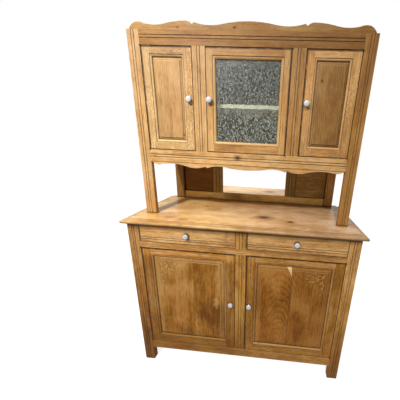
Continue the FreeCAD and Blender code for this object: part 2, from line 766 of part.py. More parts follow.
def ring(body, plane, radius):
    """A circle about the body's origin."""
    sketch = body.newObject("Sketcher::SketchObject", "Ring")
    ground = next(part for part in body.Origin.OriginFeatures if part.Role == plane)
    sketch.AttachmentSupport = [(ground, "")]
    sketch.MapMode = "FlatFace"
    edge = sketch.addGeometry(Part.Circle(Vector(0, 0, 0), Vector(0, 0, 1), size(radius)))
    sketch.addConstraint(Sketcher.Constraint("Coincident", edge, 3, -1, 1))
    which = sketch.addConstraint(Sketcher.Constraint("Radius", edge, size(radius)))
    sketch.setExpression(f"Constraints[{which}]", bound(radius))
    return sketch


KNOB_VIEWS = 10
KNOB_RINGS = (
    # radius, distance out from the door
    ("1.4 * knob_neck", "0"),
    ("knob_neck", "0.1 * knob_out"),
    ("knob_neck", "0.32 * knob_out"),
    ("0.75 * knob_round", "0.41 * knob_out"),
    ("0.97 * knob_round", "0.56 * knob_out"),
    ("knob_round", "0.72 * knob_out"),
    ("0.8 * knob_round", "0.9 * knob_out"),
    ("0.33 * knob_round", "knob_out"),
)


def knob_shape():
    """Porcelain knob: a flared foot, a slim neck and a flattened ball. Its silhouette is pushed
    through from evenly spaced sides, and the knob is what all of them share, in flat facets."""
    right = [(radius, f"-({out})") for radius, out in KNOB_RINGS]
    left = [(f"-({radius})", out) for radius, out in reversed(right)]
    silhouette = padded("knob_silhouette", "XY_Plane", right + left, "3 * knob_round")
    silhouette.Tip.SideType = "Symmetric"
    views = []
    for index in range(KNOB_VIEWS):
        view = doc.addObject("App::Link", f"knob_view_{index}")
        view.LinkedObject = silhouette
        turn = Rotation(Vector(0, 1, 0), index * 180 / KNOB_VIEWS)
        view.Placement = FreeCAD.Placement(Vector(0, 0, 0), turn)
        views.append(view)
    shape = doc.addObject("Part::MultiCommon", "knob_shape")
    shape.Shapes = views
    return shape


KNOB = knob_shape()
FIXED_LEAF = hinge_leaf("fixed_leaf", bored=False)
DOOR_LEAF = hinge_leaf("door_leaf", bored=True)
FIXED_LEAVES = []


def knob(name, across, face, high):
    """A knob at a place on a door or drawer front."""
    return node(name, group(name, [copy_at(f"{name}_head", KNOB, across, face, high)]))


def hinge_pair(door, hinge, opening, face):
    """Knife hinges at the top and bottom of a door. The fixed leaves join the frame's node."""
    left, right, low, top = opening
    on_left = hinge == "left"
    across = f"{left} + hinge_gap / 2" if on_left else f"{right} - hinge_gap / 2"
    deep = f"{face} - pivot_out"
    leaves = []
    for level, edge in (("top", top), ("bottom", low)):
        for kind, source in (("fixed", FIXED_LEAF), ("door", DOOR_LEAF)):
            name = f"{door}_{level}_{kind}"
            leaf = handed_leaf(name, source, level, on_left)
            if kind == "fixed":
                high = f"{edge} - leaf_thick" if level == "top" else edge
                FIXED_LEAVES.append(copy_at(f"{name}_leaf", leaf, across, deep, high))
            else:
                high = f"{edge} - end_gap" if level == "top" else f"{edge} + end_gap - leaf_thick"
                leaves.append(copy_at(f"{name}_leaf", leaf, across, deep, high))
    return node(f"{door}_hinges", group(f"{door}_hinges", leaves))


def handed_leaf(name, source, level, on_left):
    """The leaf for a top or bottom hinge, hinged on the left or the right."""
    piece = source
    if level == "bottom":
        flip = doc.addObject("Part::Mirroring", f"{name}_flip")
        flip.Source = piece
        flip.Normal = (0, 0, 1)
        flip.setExpression("Base.z", bound("leaf_thick / 2"))
        piece = flip
    if not on_left:
        piece = mirrored(f"{name}_hand", piece)
    return piece


# ---------------------------------------------------------------- doors
def moulding_run(low, high, face_out):
    """Across a door opening: the cutter that leaves a stepped ovolo on all four members. low
    and high are the moulding's outer lines and face_out its width."""
    back = "door_thick + overcut"
    return [
        (low, "-overcut"),
        (high, "-overcut"),
        (high, "door_step"),
        (f"{high} - door_step", "door_step", "-ovolo"),
        (f"{high} - {face_out}", "door_drop"),
        (f"{high} - {face_out}", back),
        (f"{low} + {face_out}", back),
        (f"{low} + {face_out}", "door_drop", "-ovolo"),
        (f"{low} + door_step", "door_step"),
        (low, "door_step"),
    ]


def raised_run(low, high, border):
    """Across a raised panel: tongue, sloping border, small step and field. low and high are
    the sight lines of the frame around it."""
    return [
        (f"{low} - tongue", "tongue_front"),
        (f"{low} + flat_edge", "tongue_front"),
        (f"{low} + {border}", "field_edge"),
        (f"{low} + {border}", "field_face"),
        (f"{high} - {border}", "field_face"),
        (f"{high} - {border}", "field_edge"),
        (f"{high} - flat_edge", "tongue_front"),
        (f"{high} + tongue", "tongue_front"),
        (f"{high} + tongue", "tongue_back"),
        (f"{low} - tongue", "tongue_back"),
    ]


def swapped(run):
    """The run drawn for a plane whose axes are the other way about."""
    return [(corner[1], corner[0]) + tuple(f"-({bend})" for bend in corner[2:]) for corner in run]


def two_way(name, run, across, high, more, face):
    """The solid that shows the same run both across and up, so its corners are mitred."""
    left, right = across
    low, top = high
    flat = padded(f"{name}_across", "XY_Plane", run(left, right, more),
                  f"({top}) - ({low}) + 2 * tongue")
    place(flat, "0", face, f"{low} - tongue")
    tall = padded(f"{name}_up", "YZ_Plane", swapped(run(low, top, more)),
                  f"({right}) - ({left}) + 2 * tongue")
    place(tall, f"{left} - tongue", face, "0")
    return common(name, flat, tall)


def frame_member(name, frame, corners, face):
    """One stile or rail: what the door's frame has inside an outline seen from the front."""
    prism = padded(f"{name}_cut", "XZ_Plane", corners, "door_thick + 2 * overcut")
    place(prism, "0", f"{face} - overcut", "0")
    return common(name, frame, prism)


def door(name, opening, hinge, face, widths, knob_at):
    """A framed door. widths are stile, bottom rail, top rail, moulding and panel border; a
    door without a border is glazed."""
    stile, bottom_rail, top_rail, moulding, border = widths
    left_gap, right_gap = ("hinge_gap", "free_gap") if hinge == "left" else ("free_gap", "hinge_gap")
    left, right = f"({opening[0]}) + {left_gap}", f"({opening[1]}) - {right_gap}"
    low, top = f"({opening[2]}) + end_gap", f"({opening[3]}) - end_gap"
    plain = (f"{left} + {stile}", f"{right} - {stile}")
    height = (f"{low} + {bottom_rail}", f"{top} - {top_rail}")
    sight = (f"{plain[0]} + {moulding}", f"{plain[1]} - {moulding}")
    sight_high = (f"{height[0]} + {moulding}", f"{height[1]} - {moulding}")

    blank = board(f"{name}_blank", (left, right), (face, f"{face} + door_thick"), (low, top))
    cutter = two_way(f"{name}_cutter", moulding_run, plain, height, moulding, face)
    glazed = border is None
    groove_back = "door_thick + overcut" if glazed else "tongue_back"
    groove = seat(
        f"{name}_groove", sight, (f"{face} + tongue_front", f"{face} + {groove_back}"), sight_high)
    frame = less(f"{name}_whole", blank, [cutter, groove])

    mitre = {
        "left": [(left, low), (plain[0], low), (plain[0], height[0]), (sight[0], sight_high[0]),
                 (sight[0], sight_high[1]), (plain[0], height[1]), (plain[0], top), (left, top)],
        "right": [(right, low), (right, top), (plain[1], top), (plain[1], height[1]),
                  (sight[1], sight_high[1]), (sight[1], sight_high[0]), (plain[1], height[0]),
                  (plain[1], low)],
        "bottom": [(plain[0], low), (plain[1], low), (plain[1], height[0]),
                   (sight[1], sight_high[0]), (sight[0], sight_high[0]), (plain[0], height[0])],
        "top": [(plain[0], top), (plain[0], height[1]), (sight[0], sight_high[1]),
                (sight[1], sight_high[1]), (plain[1], height[1]), (plain[1], top)],
    }
    members = [frame_member(f"{name}_{side}", frame, corners, face)
               for side, corners in mitre.items()]
    node(f"{name}_frame", group(f"{name}_frame", members))
    if glazed:
        glazing(name, sight, sight_high, face)
    else:
        panel = two_way(f"{name}_field", raised_run, sight, sight_high, border, face)
        node(f"{name}_panel", panel)
    knob(f"{name}_knob", knob_at[0], face, knob_at[1])
    hinge_pair(name, hinge, opening, face)


def glazing(name, sight, sight_high, face):
    """Obscure glass in a rebate, held by four beads."""
    pane = board(
        f"{name}_glass",
        (f"{sight[0]} - tongue", f"{sight[1]} + tongue"),
        (f"{face} + tongue_front", f"{face} + tongue_front + mirror_thick"),
        (f"{sight_high[0]} - tongue", f"{sight_high[1]} + tongue"))
    node(f"{name}_glass", pane)
    deep = (f"{face} + tongue_front + mirror_thick", f"{face} + door_thick")
    wide = (f"{sight[0]} - groove_deep", f"{sight[1]} + groove_deep")
    tall = (sight_high[0], sight_high[1])
    beads = [
        board("bead_left", (wide[0], sight[0]), deep, tall),
        board("bead_right", (sight[1], wide[1]), deep, tall),
        board("bead_bottom", wide, deep, (f"{sight_high[0]} - groove_deep", sight_high[0])),
        board("bead_top", wide, deep, (sight_high[1], f"{sight_high[1]} + groove_deep")),
    ]
    node("glass_beads", group("glass_beads", beads))


LOWER_WIDTHS = ("lower_stile", "lower_foot", "lower_head", "lower_mould", "lower_border")
UPPER_WIDTHS = ("upper_stile", "upper_foot", "upper_head", "upper_mould", "upper_border")
GLAZED_WIDTHS = ("glazed_stile", "upper_foot", "upper_head", "glazed_mould", None)
MULLION_IN = "mullion_mid - mullion_width / 2"
MULLION_OUT = "mullion_mid + mullion_width / 2"
LOWER_HIGH = ("plinth_top", "waist_low")
UPPER_HIGH = ("breast_top", "head_low")


def doors():
    """Two doors below, three above."""
    half = "centre_stile / 2"
    door("lower_left_door", (OPENING_LEFT, f"-{half}") + LOWER_HIGH, "left", "0",
         LOWER_WIDTHS, ("-lower_knob_side", "lower_knob"))
    door("lower_right_door", (half, OPENING_RIGHT) + LOWER_HIGH, "right", "0",
         LOWER_WIDTHS, ("lower_knob_side", "lower_knob"))
    door("upper_left_door", (POST_GAP[0], f"-({MULLION_OUT})") + UPPER_HIGH, "left", "set_back",
         UPPER_WIDTHS, ("-upper_knob_side", "upper_knob"))
    door("glazed_door", (f"-({MULLION_IN})", MULLION_IN) + UPPER_HIGH, "right", "set_back",
         GLAZED_WIDTHS, ("-glazed_knob_side", "upper_knob"))
    door("upper_right_door", (MULLION_OUT, POST_GAP[1]) + UPPER_HIGH, "right", "set_back",
         UPPER_WIDTHS, ("upper_knob_side", "upper_knob"))
    node("hinge_fixed_leaves", group("hinge_fixed_leaves", FIXED_LEAVES))


# ---------------------------------------------------------------- drawers
def drawer(name, inner, outer, middle):
    """A drawer between two positions across; two grooves run along the lower third of its
    front, and its sides stand on the runners."""
    left, right = f"({inner}) + drawer_gap", f"({outer}) - drawer_gap"
    low, top = "waist_top + drawer_gap", "counter_low - drawer_gap"
    corners = [("0", "0"), ("door_thick", "0"), ("door_thick", f"{top} - ({low})")]
    corners += [("0", f"{top} - ({low})")] + reeds_down("drawer_reed")
    front = padded(f"{name}_front", "YZ_Plane", corners, f"({right}) - ({left})")
    node(f"{name}_front", place(front, left, "0", low))

    side_low, side_top = "waist_top + drawer_play", "waist_top + drawer_play + drawer_high"
    deep = ("door_thick", "door_thick + drawer_long")
    floor_low = "waist_top + drawer_sink"
    sides = [
        board(f"{name}_side_left", (left, f"{left} + drawer_side"), deep, (side_low, side_top)),
        board(f"{name}_side_right", (f"{right} - drawer_side", right), deep, (side_low, side_top)),
    ]
    floor_room = board(
        f"{name}_floor_room",
        (f"{left} + drawer_side - bottom_groove", f"{right} - drawer_side + bottom_groove"), deep,
        (floor_low, f"{floor_low} + drawer_floor"))
    cut_sides = less(f"{name}_sides", group(f"{name}_side_pair", sides), [floor_room])
    back = board(
        f"{name}_back", (f"{left} + drawer_side", f"{right} - drawer_side"),
        (f"{deep[1]} - drawer_side", deep[1]), (f"{floor_low} + drawer_floor", side_top))
    floor = board(
        f"{name}_floor",
        (f"{left} + bottom_groove + drawer_play", f"{right} - bottom_groove - drawer_play"), deep,
        (floor_low, f"{floor_low} + drawer_floor"))
    node(f"{name}_box", group(f"{name}_box", [cut_sides, back, floor]))
    knob(f"{name}_knob", middle, "0", "drawer_knob")


def drawers():
    """One drawer over each lower door."""
    half = "centre_stile / 2"
    drawer("left_drawer", OPENING_LEFT, f"-{half}", "-drawer_knob_side")
    drawer("right_drawer", half, OPENING_RIGHT, "drawer_knob_side")


# ---------------------------------------------------------------- build, check and write
def build():
    """Make every piece of the cupboard."""
    front_legs()
    rear_legs()
    plinth_rail()
    waist_rail()
    centre_stiles()
    lower_sides()
    lower_back()
    lower_boards()
    shelf_cleats()
    drawer_runners()
    countertop()
    upper_front_posts()
    upper_rear_posts()
    reeded_rail("top_rail", "head_low", "top_high", "top_rail_reed")
    reeded_rail("breast_rail", "breast_low", "breast_top", "breast_rail_reed")
    mullions()
    crest()
    apron()
    upper_boards()
    upper_sides()
    back_of_upper_case()
    doors()
    drawers()
    doc.recompute()


def check():
    """Stop before writing if any object failed or any piece isn't a sound solid."""
    for thing in doc.Objects:
        if "Invalid" in thing.State or "Error" in thing.State:
            raise RuntimeError(f"{thing.Name} failed: {thing.State}")
    for piece in NODES:
        if piece.Shape.isNull() or not piece.Shape.isValid() or not piece.Shape.Solids:
            raise RuntimeError(f"{piece.Label} has no valid solid")


def write():
    """One STEP file for each node."""
    os.makedirs("parts", exist_ok=True)
    for piece in NODES:
        piece.Shape.exportStep(f"parts/{piece.Label}.step")


build()
check()
write()
print(len(NODES), "nodes written")
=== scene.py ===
"""Looks of a step back cupboard: its oak, the carved corners of the lower doors, porcelain knobs,
hammered glass, mirror and brass.

Lengths are in metres in the frame of the CAD model: X to the right, Y to the back, Z up.
"""
import math
from dataclasses import dataclass

import bpy
import numpy as np
from mathutils import Matrix, Vector


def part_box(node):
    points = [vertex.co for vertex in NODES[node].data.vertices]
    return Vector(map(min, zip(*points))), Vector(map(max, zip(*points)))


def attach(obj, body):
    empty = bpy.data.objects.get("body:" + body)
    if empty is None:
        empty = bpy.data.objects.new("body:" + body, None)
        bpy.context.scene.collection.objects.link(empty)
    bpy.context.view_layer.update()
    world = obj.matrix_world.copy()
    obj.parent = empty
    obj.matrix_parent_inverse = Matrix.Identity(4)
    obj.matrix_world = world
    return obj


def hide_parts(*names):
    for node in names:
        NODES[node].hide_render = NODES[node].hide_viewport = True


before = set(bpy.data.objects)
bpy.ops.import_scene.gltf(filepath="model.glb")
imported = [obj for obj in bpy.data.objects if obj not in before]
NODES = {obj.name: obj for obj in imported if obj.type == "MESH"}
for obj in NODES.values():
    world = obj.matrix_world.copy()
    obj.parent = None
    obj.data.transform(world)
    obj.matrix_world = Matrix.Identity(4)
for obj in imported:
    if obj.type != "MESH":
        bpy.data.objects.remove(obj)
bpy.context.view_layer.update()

LOWER_FACE = -0.235  # front of the lower case
UPPER_FACE = -0.134  # front of the upper case
DOOR_THICK = 0.022


# -------- nodes of a material
class Bench:
    """A material or world under work: its nodes are added and joined by short calls."""

    def __init__(self, name, kind="materials"):
        self.made = getattr(bpy.data, kind).new(name)
        self.made.use_nodes = True
        self.tree = self.made.node_tree
        self.tree.nodes.clear()

    def add(self, kind, inputs=(), **settings):
        """A node with its settings, and its inputs as values or as other nodes' sockets."""
        piece = self.tree.nodes.new(kind)
        for word, value in settings.items():
            setattr(piece, word, value)
        for key, value in dict(inputs).items():
            if isinstance(value, bpy.types.NodeSocket):
                self.tree.links.new(value, piece.inputs[key])
            else:
                piece.inputs[key].default_value = value
        return piece

    def math(self, operation, *values, clamp=False):
        """One step of arithmetic."""
        step = self.add("ShaderNodeMath", enumerate(values), operation=operation, use_clamp=clamp)
        return step.outputs[0]

    def past(self, value, middle, unit, clamp=False):
        """How far a number lies past a middle, in units."""
        return self.math("DIVIDE", self.math("SUBTRACT", value, middle), unit, clamp=clamp)

    def length(self, first, second):
        """The length of a step given by its two parts."""
        return self.math("SQRT", self.math("ADD", self.math("MULTIPLY", first, first),
                                           self.math("MULTIPLY", second, second)))

    def vector(self, operation, first, second):
        """One step of vector arithmetic."""
        return self.add("ShaderNodeVectorMath", {0: first, 1: second}, operation=operation).outputs[0]

    def join(self, x, y, z):
        """A vector from three numbers."""
        return self.add("ShaderNodeCombineXYZ", {0: x, 1: y, 2: z}).outputs[0]

    def part(self, vector):
        """The three numbers of a vector."""
        return self.add("ShaderNodeSeparateXYZ", {0: vector}).outputs

    def place(self):
        """Position on the object, in metres."""
        return self.add("ShaderNodeTexCoord").outputs["Object"]

    def noise(self, vector, stretch, detail=2.0, rough=0.5, wave=0.0):
        """Smooth noise from 0 to 1, stretch times a metre along each axis."""
        spread = self.vector("MULTIPLY", vector, stretch)
        inputs = {"Vector": spread, "Scale": 1.0, "Detail": detail, "Roughness": rough,
                  "Distortion": wave}
        return self.add("ShaderNodeTexNoise", inputs).outputs["Fac"]

    def fade(self, value, low, high, start=0.0, end=1.0):
        """start up to low, end from high on, and a smooth way between."""
        inputs = {0: value, 1: low, 2: high, 3: start, 4: end}
        step = self.add("ShaderNodeMapRange", inputs, interpolation_type="SMOOTHSTEP", clamp=True)
        return step.outputs[0]

    def ramp(self, value, stops, steps="LINEAR"):
        """Colours at positions from 0 to 1."""
        piece = self.add("ShaderNodeValToRGB", {0: value})
        line = piece.color_ramp
        line.interpolation = steps
        while len(line.elements) < len(stops):
            line.elements.new(1.0)
        for stop, (where, colour) in zip(line.elements, stops):
            stop.position = where
            stop.color = (*colour, 1.0)
        return piece.outputs["Color"]

    def mix(self, share, first, second, kind="MIX"):
        """A colour mixed with another, or laid over with it."""
        if isinstance(second, tuple):
            second = (*second, 1.0)
        step = self.add("ShaderNodeMix", {0: share, 6: first, 7: second},
                        data_type="RGBA", blend_type=kind)
        return step.outputs[2]

    def choose(self, share, first, second):
        """Two numbers mixed."""
        return self.add("ShaderNodeMix", {0: share, 2: first, 3: second}).outputs[0]

    def corners(self, reach, samples=6):
        """1 on open surfaces, and less in hollows and corners up to a reach."""
        look = self.add("ShaderNodeAmbientOcclusion", {"Distance": reach}, samples=samples)
        return look.outputs["AO"]

    def bump(self, height, strength, depth, **others):
        """The surface's direction with a height laid on it as relief."""
        inputs = {"Strength": strength, "Distance": depth, "Height": height, **others}
        return self.add("ShaderNodeBump", inputs).outputs[0]

    def looked_at(self):
        """1 for rays that carry what is seen, straight or by mirror or glass, 0 for light."""
        rays = self.add("ShaderNodeLightPath").outputs
        seen = self.math("MAXIMUM", rays["Is Camera Ray"], rays["Is Glossy Ray"])
        return self.math("MAXIMUM", seen, rays["Is Transmission Ray"])

    def surface(self, **inputs):
        """The main shader; an underscore in a name stands for a space."""
        named = {key.replace("_", " "): value for key, value in inputs.items()}
        return self.add("ShaderNodeBsdfPrincipled", named).outputs[0]

    def finish(self, shader, output="ShaderNodeOutputMaterial"):
        """Send a shader to the surface."""
        self.add(output, {"Surface": shader})
        return self.made


# -------- camera, floor and light
IMAGE = 400  # pixels, both ways
FOCAL = 207.12  # pixels
LENS_CENTRE = (264.52, 203.18)  # pixel that the lens looks at
SENSOR = 36.0  # millimetres
EYE = (0.1674, -1.1859, 1.3562)
TURN, TILT, ROLL = math.radians(3.410), math.radians(-16.072), math.radians(-2.812)
WHITE = (1.0, 1.0, 1.0, 1.0)
FLOOR_REACH = 9.0
FLOOR_PAINT = (0.42, 0.42, 0.42, 1.0)
FLOOR_LIFT = 0.82  # brings the lit floor to white and leaves the shadows
SKY_LIGHT = 0.22
LAMPS = (
    # name, kind, place, point that it shines at, power, other settings
    ("key", "AREA", (-0.66, -1.10, 2.20), (-0.3, 0.0, 1.2), 14.0, {"shape": "DISK", "size": 0.2}),
    ("high", "SUN", (-0.18, -1.0, 0.9), (0.0, 0.0, 0.0), 1.8, {"angle": math.radians(4)}),
    ("ceiling", "AREA", (-0.3, -0.75, 3.0), (-0.3, -0.75, 0.0), 20.0,
     {"shape": "SQUARE", "size": 1.8}),
)


def add_object(name, data):
    """A new object in the scene."""
    thing = bpy.data.objects.new(name, data)
    bpy.context.scene.collection.objects.link(thing)
    return thing


def camera():
    """The view from standing height, looking down a little."""
    data = bpy.data.cameras.new("camera")
    data.sensor_width = SENSOR
    data.lens = FOCAL * SENSOR / IMAGE
    data.shift_x = (IMAGE / 2 - LENS_CENTRE[0]) / IMAGE
    data.shift_y = (LENS_CENTRE[1] - IMAGE / 2) / IMAGE
    eye = add_object("camera", data)
    turned = Matrix.Rotation(TURN, 4, "Z") @ Matrix.Rotation(TILT, 4, "X")
    level = Matrix.Rotation(ROLL, 4, "Y") @ Matrix.Rotation(math.pi / 2, 4, "X")
    eye.matrix_world = Matrix.Translation(EYE) @ turned @ level
    bpy.context.scene.camera = eye


def lamp(name, kind, place, aim, power, settings):
    """A lamp at a place, turned to shine at a point."""
    data = bpy.data.lights.new(name, kind)
    data.energy = power
    for word, value in settings.items():
        setattr(data, word, value)
    way = Vector(place) - Vector(aim)
    light = add_object(name, data)
    light.matrix_world = Matrix.Translation(place) @ way.to_track_quat("Z", "Y").to_matrix().to_4x4()


def floor_finish():
    """Pale floor that shows white where nothing shades it."""
    bench = Bench("pale_floor")
    paint = bench.add("ShaderNodeBsdfDiffuse", {"Color": FLOOR_PAINT}).outputs[0]
    glow = bench.math("MULTIPLY", bench.looked_at(), FLOOR_LIFT)
    lift = bench.add("ShaderNodeEmission", {"Strength": glow}).outputs[0]
    return bench.finish(bench.add("ShaderNodeAddShader", {0: paint, 1: lift}).outputs[0])


def surroundings():
    """Floor, sky and lamps: soft light from all round and above, and a key from the front left."""
    mesh = bpy.data.meshes.new("floor")
    corners = [(x * FLOOR_REACH, y * FLOOR_REACH, 0) for x, y in ((-1, -1), (1, -1), (1, 1), (-1, 1))]
    mesh.from_pydata(corners, [], [(0, 1, 2, 3)])
    mesh.materials.append(floor_finish())
    floor = add_object("floor", mesh)

    bench = Bench("room", "worlds")
    strength = bench.choose(bench.looked_at(), SKY_LIGHT, 1.0)
    sky = bench.add("ShaderNodeBackground", {"Color": WHITE, "Strength": strength}).outputs[0]
    bpy.context.scene.world = bench.finish(sky, "ShaderNodeOutputWorld")

    for settings in LAMPS:
        lamp(*settings)


# -------- oak
# dark, middle and light wood of each finish
GOLDEN = ((0.260, 0.105, 0.020), (0.560, 0.300, 0.098), (0.780, 0.480, 0.205))
HONEY = ((0.190, 0.070, 0.010), (0.430, 0.205, 0.048), (0.640, 0.360, 0.120))
BROWN = ((0.140, 0.045, 0.002), (0.320, 0.131, 0.018), (0.485, 0.245, 0.080))
UMBER = ((0.070, 0.022, 0.001), (0.150, 0.055, 0.004), (0.240, 0.105, 0.018))
OLIVE = ((0.240, 0.140, 0.030), (0.500, 0.320, 0.085), (0.700, 0.490, 0.170))
INSIDE = ((0.200, 0.105, 0.045), (0.360, 0.225, 0.115), (0.460, 0.310, 0.175))
DUSTY = ((0.050, 0.038, 0.025), (0.105, 0.085, 0.060), (0.170, 0.140, 0.100))
# paints of patches, and of dirt with painted shade
DIRT_AND_SHADE = (0.038, 0.013, 0.002)
AMBER = (0.42, 0.16, 0.022)
PALE = (0.62, 0.36, 0.11)
GLOW = (0.98, 0.68, 0.34)
SMOKED = (0.17, 0.058, 0.006)
RAIL_DARKENING = (0.10, 0.040, 0.005)
# noise of each figure: times a metre across, through and along the grain, detail, roughness, wave
FINE = ((300.0, 300.0, 26.0), 3.0, 0.6)
STREAK = ((75.0, 75.0, 3.2), 3.0, 0.55, 0.5)
PATCH = ((13.0, 13.0, 7.0), 5.0, 0.68, 0.6)
CLOUD = ((5.0, 5.0, 3.0), 2.0, 0.5, 0.8)
FLECK = ((150.0, 150.0, 26.0), 2.0, 0.5, 2.2)
FLAME = ((85.0, 85.0, 42.0), 1.0, 0.4, 3.0)
FLAME_AREA = ((9.0, 9.0, 5.0), 2.0)
PORE = ((850.0, 850.0, 36.0), 1.0)
GRIT = ((230.0, 230.0, 15.0), 2.0, 0.6)
AMBER_AREA = ((5.0, 5.0, 3.6), 3.0)
WANDER = ((3.0, 3.0, 1.6), 2.0)
JITTER = ((45.0, 45.0, 5.0), 2.0)
BLOT = ((30.0, 30.0, 30.0), 3.0, 0.6)
# levels between which a figure comes in, and its shares at these
FLECK_EDGE = (0.56, 0.66)
FLAME_EDGE, FLAME_PLACES = (0.50, 0.60), (0.46, 0.60)
PORE_EDGE, PORE_YEAR = (0.60, 0.70), (0.80, 0.10)
GRIT_EDGE = (0.57, 0.72, 0.0, 0.55)
AMBER_EDGE = (0.52, 0.66, 0.0, 0.40)
BLOT_EDGE = (0.32, 0.52, 0.6, 1.0)
# levels for the rubbed edges, and for the painted shade and dirt in hollows
RUB_EDGE, HOLLOW_SHADE_EDGE = (0.80, 0.97), (0.52, 0.92)
FINE_SHARE, PATCH_SHARE, PORE_SHARE = 0.8, 1.1, 0.60
TONE_STOPS = (0.05, 0.50, 0.95)  # where dark, middle and light wood lie
# where a board's heart lies unless it is known, in metres
HEART_ACROSS, HEART_DEEP = (-0.10, 0.10), (0.015, 0.060)
SWAY = 0.14  # how far the rings wander, in metres
UNREST = 1.6  # how far they are uneven, in rings
KNOT_REACH, KNOT_RINGS = 4.0, 6.0  # radii round a knot where rings climb, and how many
# how light the wood is through one growth ring, from its start to its end
GROWTH = ((0.0, -0.6), (0.12, -0.2), (0.50, 0.25), (0.86, 0.35), (1.0, -0.5))
SHEEN_UP = 1.25  # ray flecks and flame over the lightest wood
AMBER_TINT = (0.98, 0.76, 0.50)
KNOT_LONG = 1.5  # a knot's length over its width
ARRIS = 0.0016  # rounding of a worn edge
GRAIN_DEEP = 0.0004
# rubbed wood, also used for painted highlights, from the lightest: gain, lift and most, for
# red, green and blue
RUBBED = ((1.15, 0.0, 0.85), (1.30, 0.0, 0.70), (1.30, 0.02, 0.45))


@dataclass
class Wood:
    """How the oak of one piece differs: its tone, and the share of each kind of figure."""
    tone: tuple
    seed: float                 # sets the boards apart
    shade: float = 1.0          # lighter over 1, darker under it
    figure: float = 1.0         # contrast of streaks and patches
    cast: tuple = (1.0, 1.0, 1.0)   # shade of red, green and blue apart
    streaks: float = 0.9        # contrast of the streaks alone
    clouds: float = 0.7         # contrast of wide soft patches
    rings: float = 0.15         # contrast of the growth rings
    year: float = 0.0055        # one year's growth, in metres
    lean: float = 0.07          # how far the heart runs askew of the board
    heart: tuple = None         # a heart that is known: across, depth, slope
    fleck: float = 0.3          # pale ray flecks
    flame: float = 0.0          # pale wavy figure, in patches
    knots: tuple = ()           # (across, along, radius) of each
    patches: tuple = ()         # (across, along, half width, half length, share, colour)
    tints: tuple = ()           # (axis, from, to, colour reached there); several are painted light and shade
    boards: float = 0.22        # how far one board is lighter or darker than the next
    # strength of the painted shade and dirt in hollows and corners
    shade_dirt: float = 1.0
    hollow: float = 0.014       # reach of the painted shade and dirt in hollows, in metres
    # rubbed edges, and the painted highlight along panel arrises
    wear_highlight: float = 0.8
    gloss: float = 0.22
    polish: float = 0.0         # how much smoother than plain waxed oak

    def tones(self):
        """Dark, middle and light wood in this piece's own shade."""
        return [tuple(part * self.shade * share for part, share in zip(colour, self.cast))
                for colour in self.tone]


def knot_ring(bench, point, knot):
    """Distance from the middle of a knot, in its radii; a knot is longer along the grain."""
    across, along, radius = knot
    parts = bench.part(point)
    side = bench.past(parts[0], across, radius)
    rise = bench.past(parts[2], along, radius * KNOT_LONG)
    return bench.length(side, rise)


def years(bench, point, lot, wood):
    """Growth rings round a heart that runs askew under the board, as a number that climbs
    through each ring, and that climbs again towards each knot."""
    across, through, along = bench.part(point)
    if wood.heart:
        heart, depth, slope = wood.heart
    else:
        a, b, c = bench.part(lot)
        heart = bench.choose(a, *HEART_ACROSS)
        depth = bench.choose(b, *HEART_DEEP)
        slope = bench.choose(c, -wood.lean, wood.lean)
    own = bench.vector("ADD", point, lot)
    sway = bench.math("MULTIPLY_ADD", bench.noise(own, *WANDER), SWAY, -SWAY / 2)
    side = bench.math("ADD", bench.math("SUBTRACT", across, heart), sway)
    under = bench.math("MULTIPLY_ADD", along, slope, bench.math("ADD", through, depth))
    jitter = bench.math("MULTIPLY", bench.noise(own, *JITTER), UNREST)
    count = bench.math("MULTIPLY_ADD", bench.length(side, under), 1.0 / wood.year, jitter)
    for knot in wood.knots:
        near = bench.fade(knot_ring(bench, point, knot), 0.0, KNOT_REACH, KNOT_RINGS, 0.0)
        count = bench.math("ADD", count, near)
    return count


def own_shape(bench, point):
    """A point moved by smooth noise, so that a patch measured from it has an uneven outline."""
    drift = bench.add("ShaderNodeTexNoise", {"Vector": point, "Scale": 30.0, "Detail": 4.0,
                                             "Roughness": 0.6})
    away = bench.vector("SUBTRACT", drift.outputs["Color"], (0.5, 0.5, 0.5))
    return bench.vector("ADD", point, bench.vector("MULTIPLY", away, (0.05, 0.0, 0.09)))


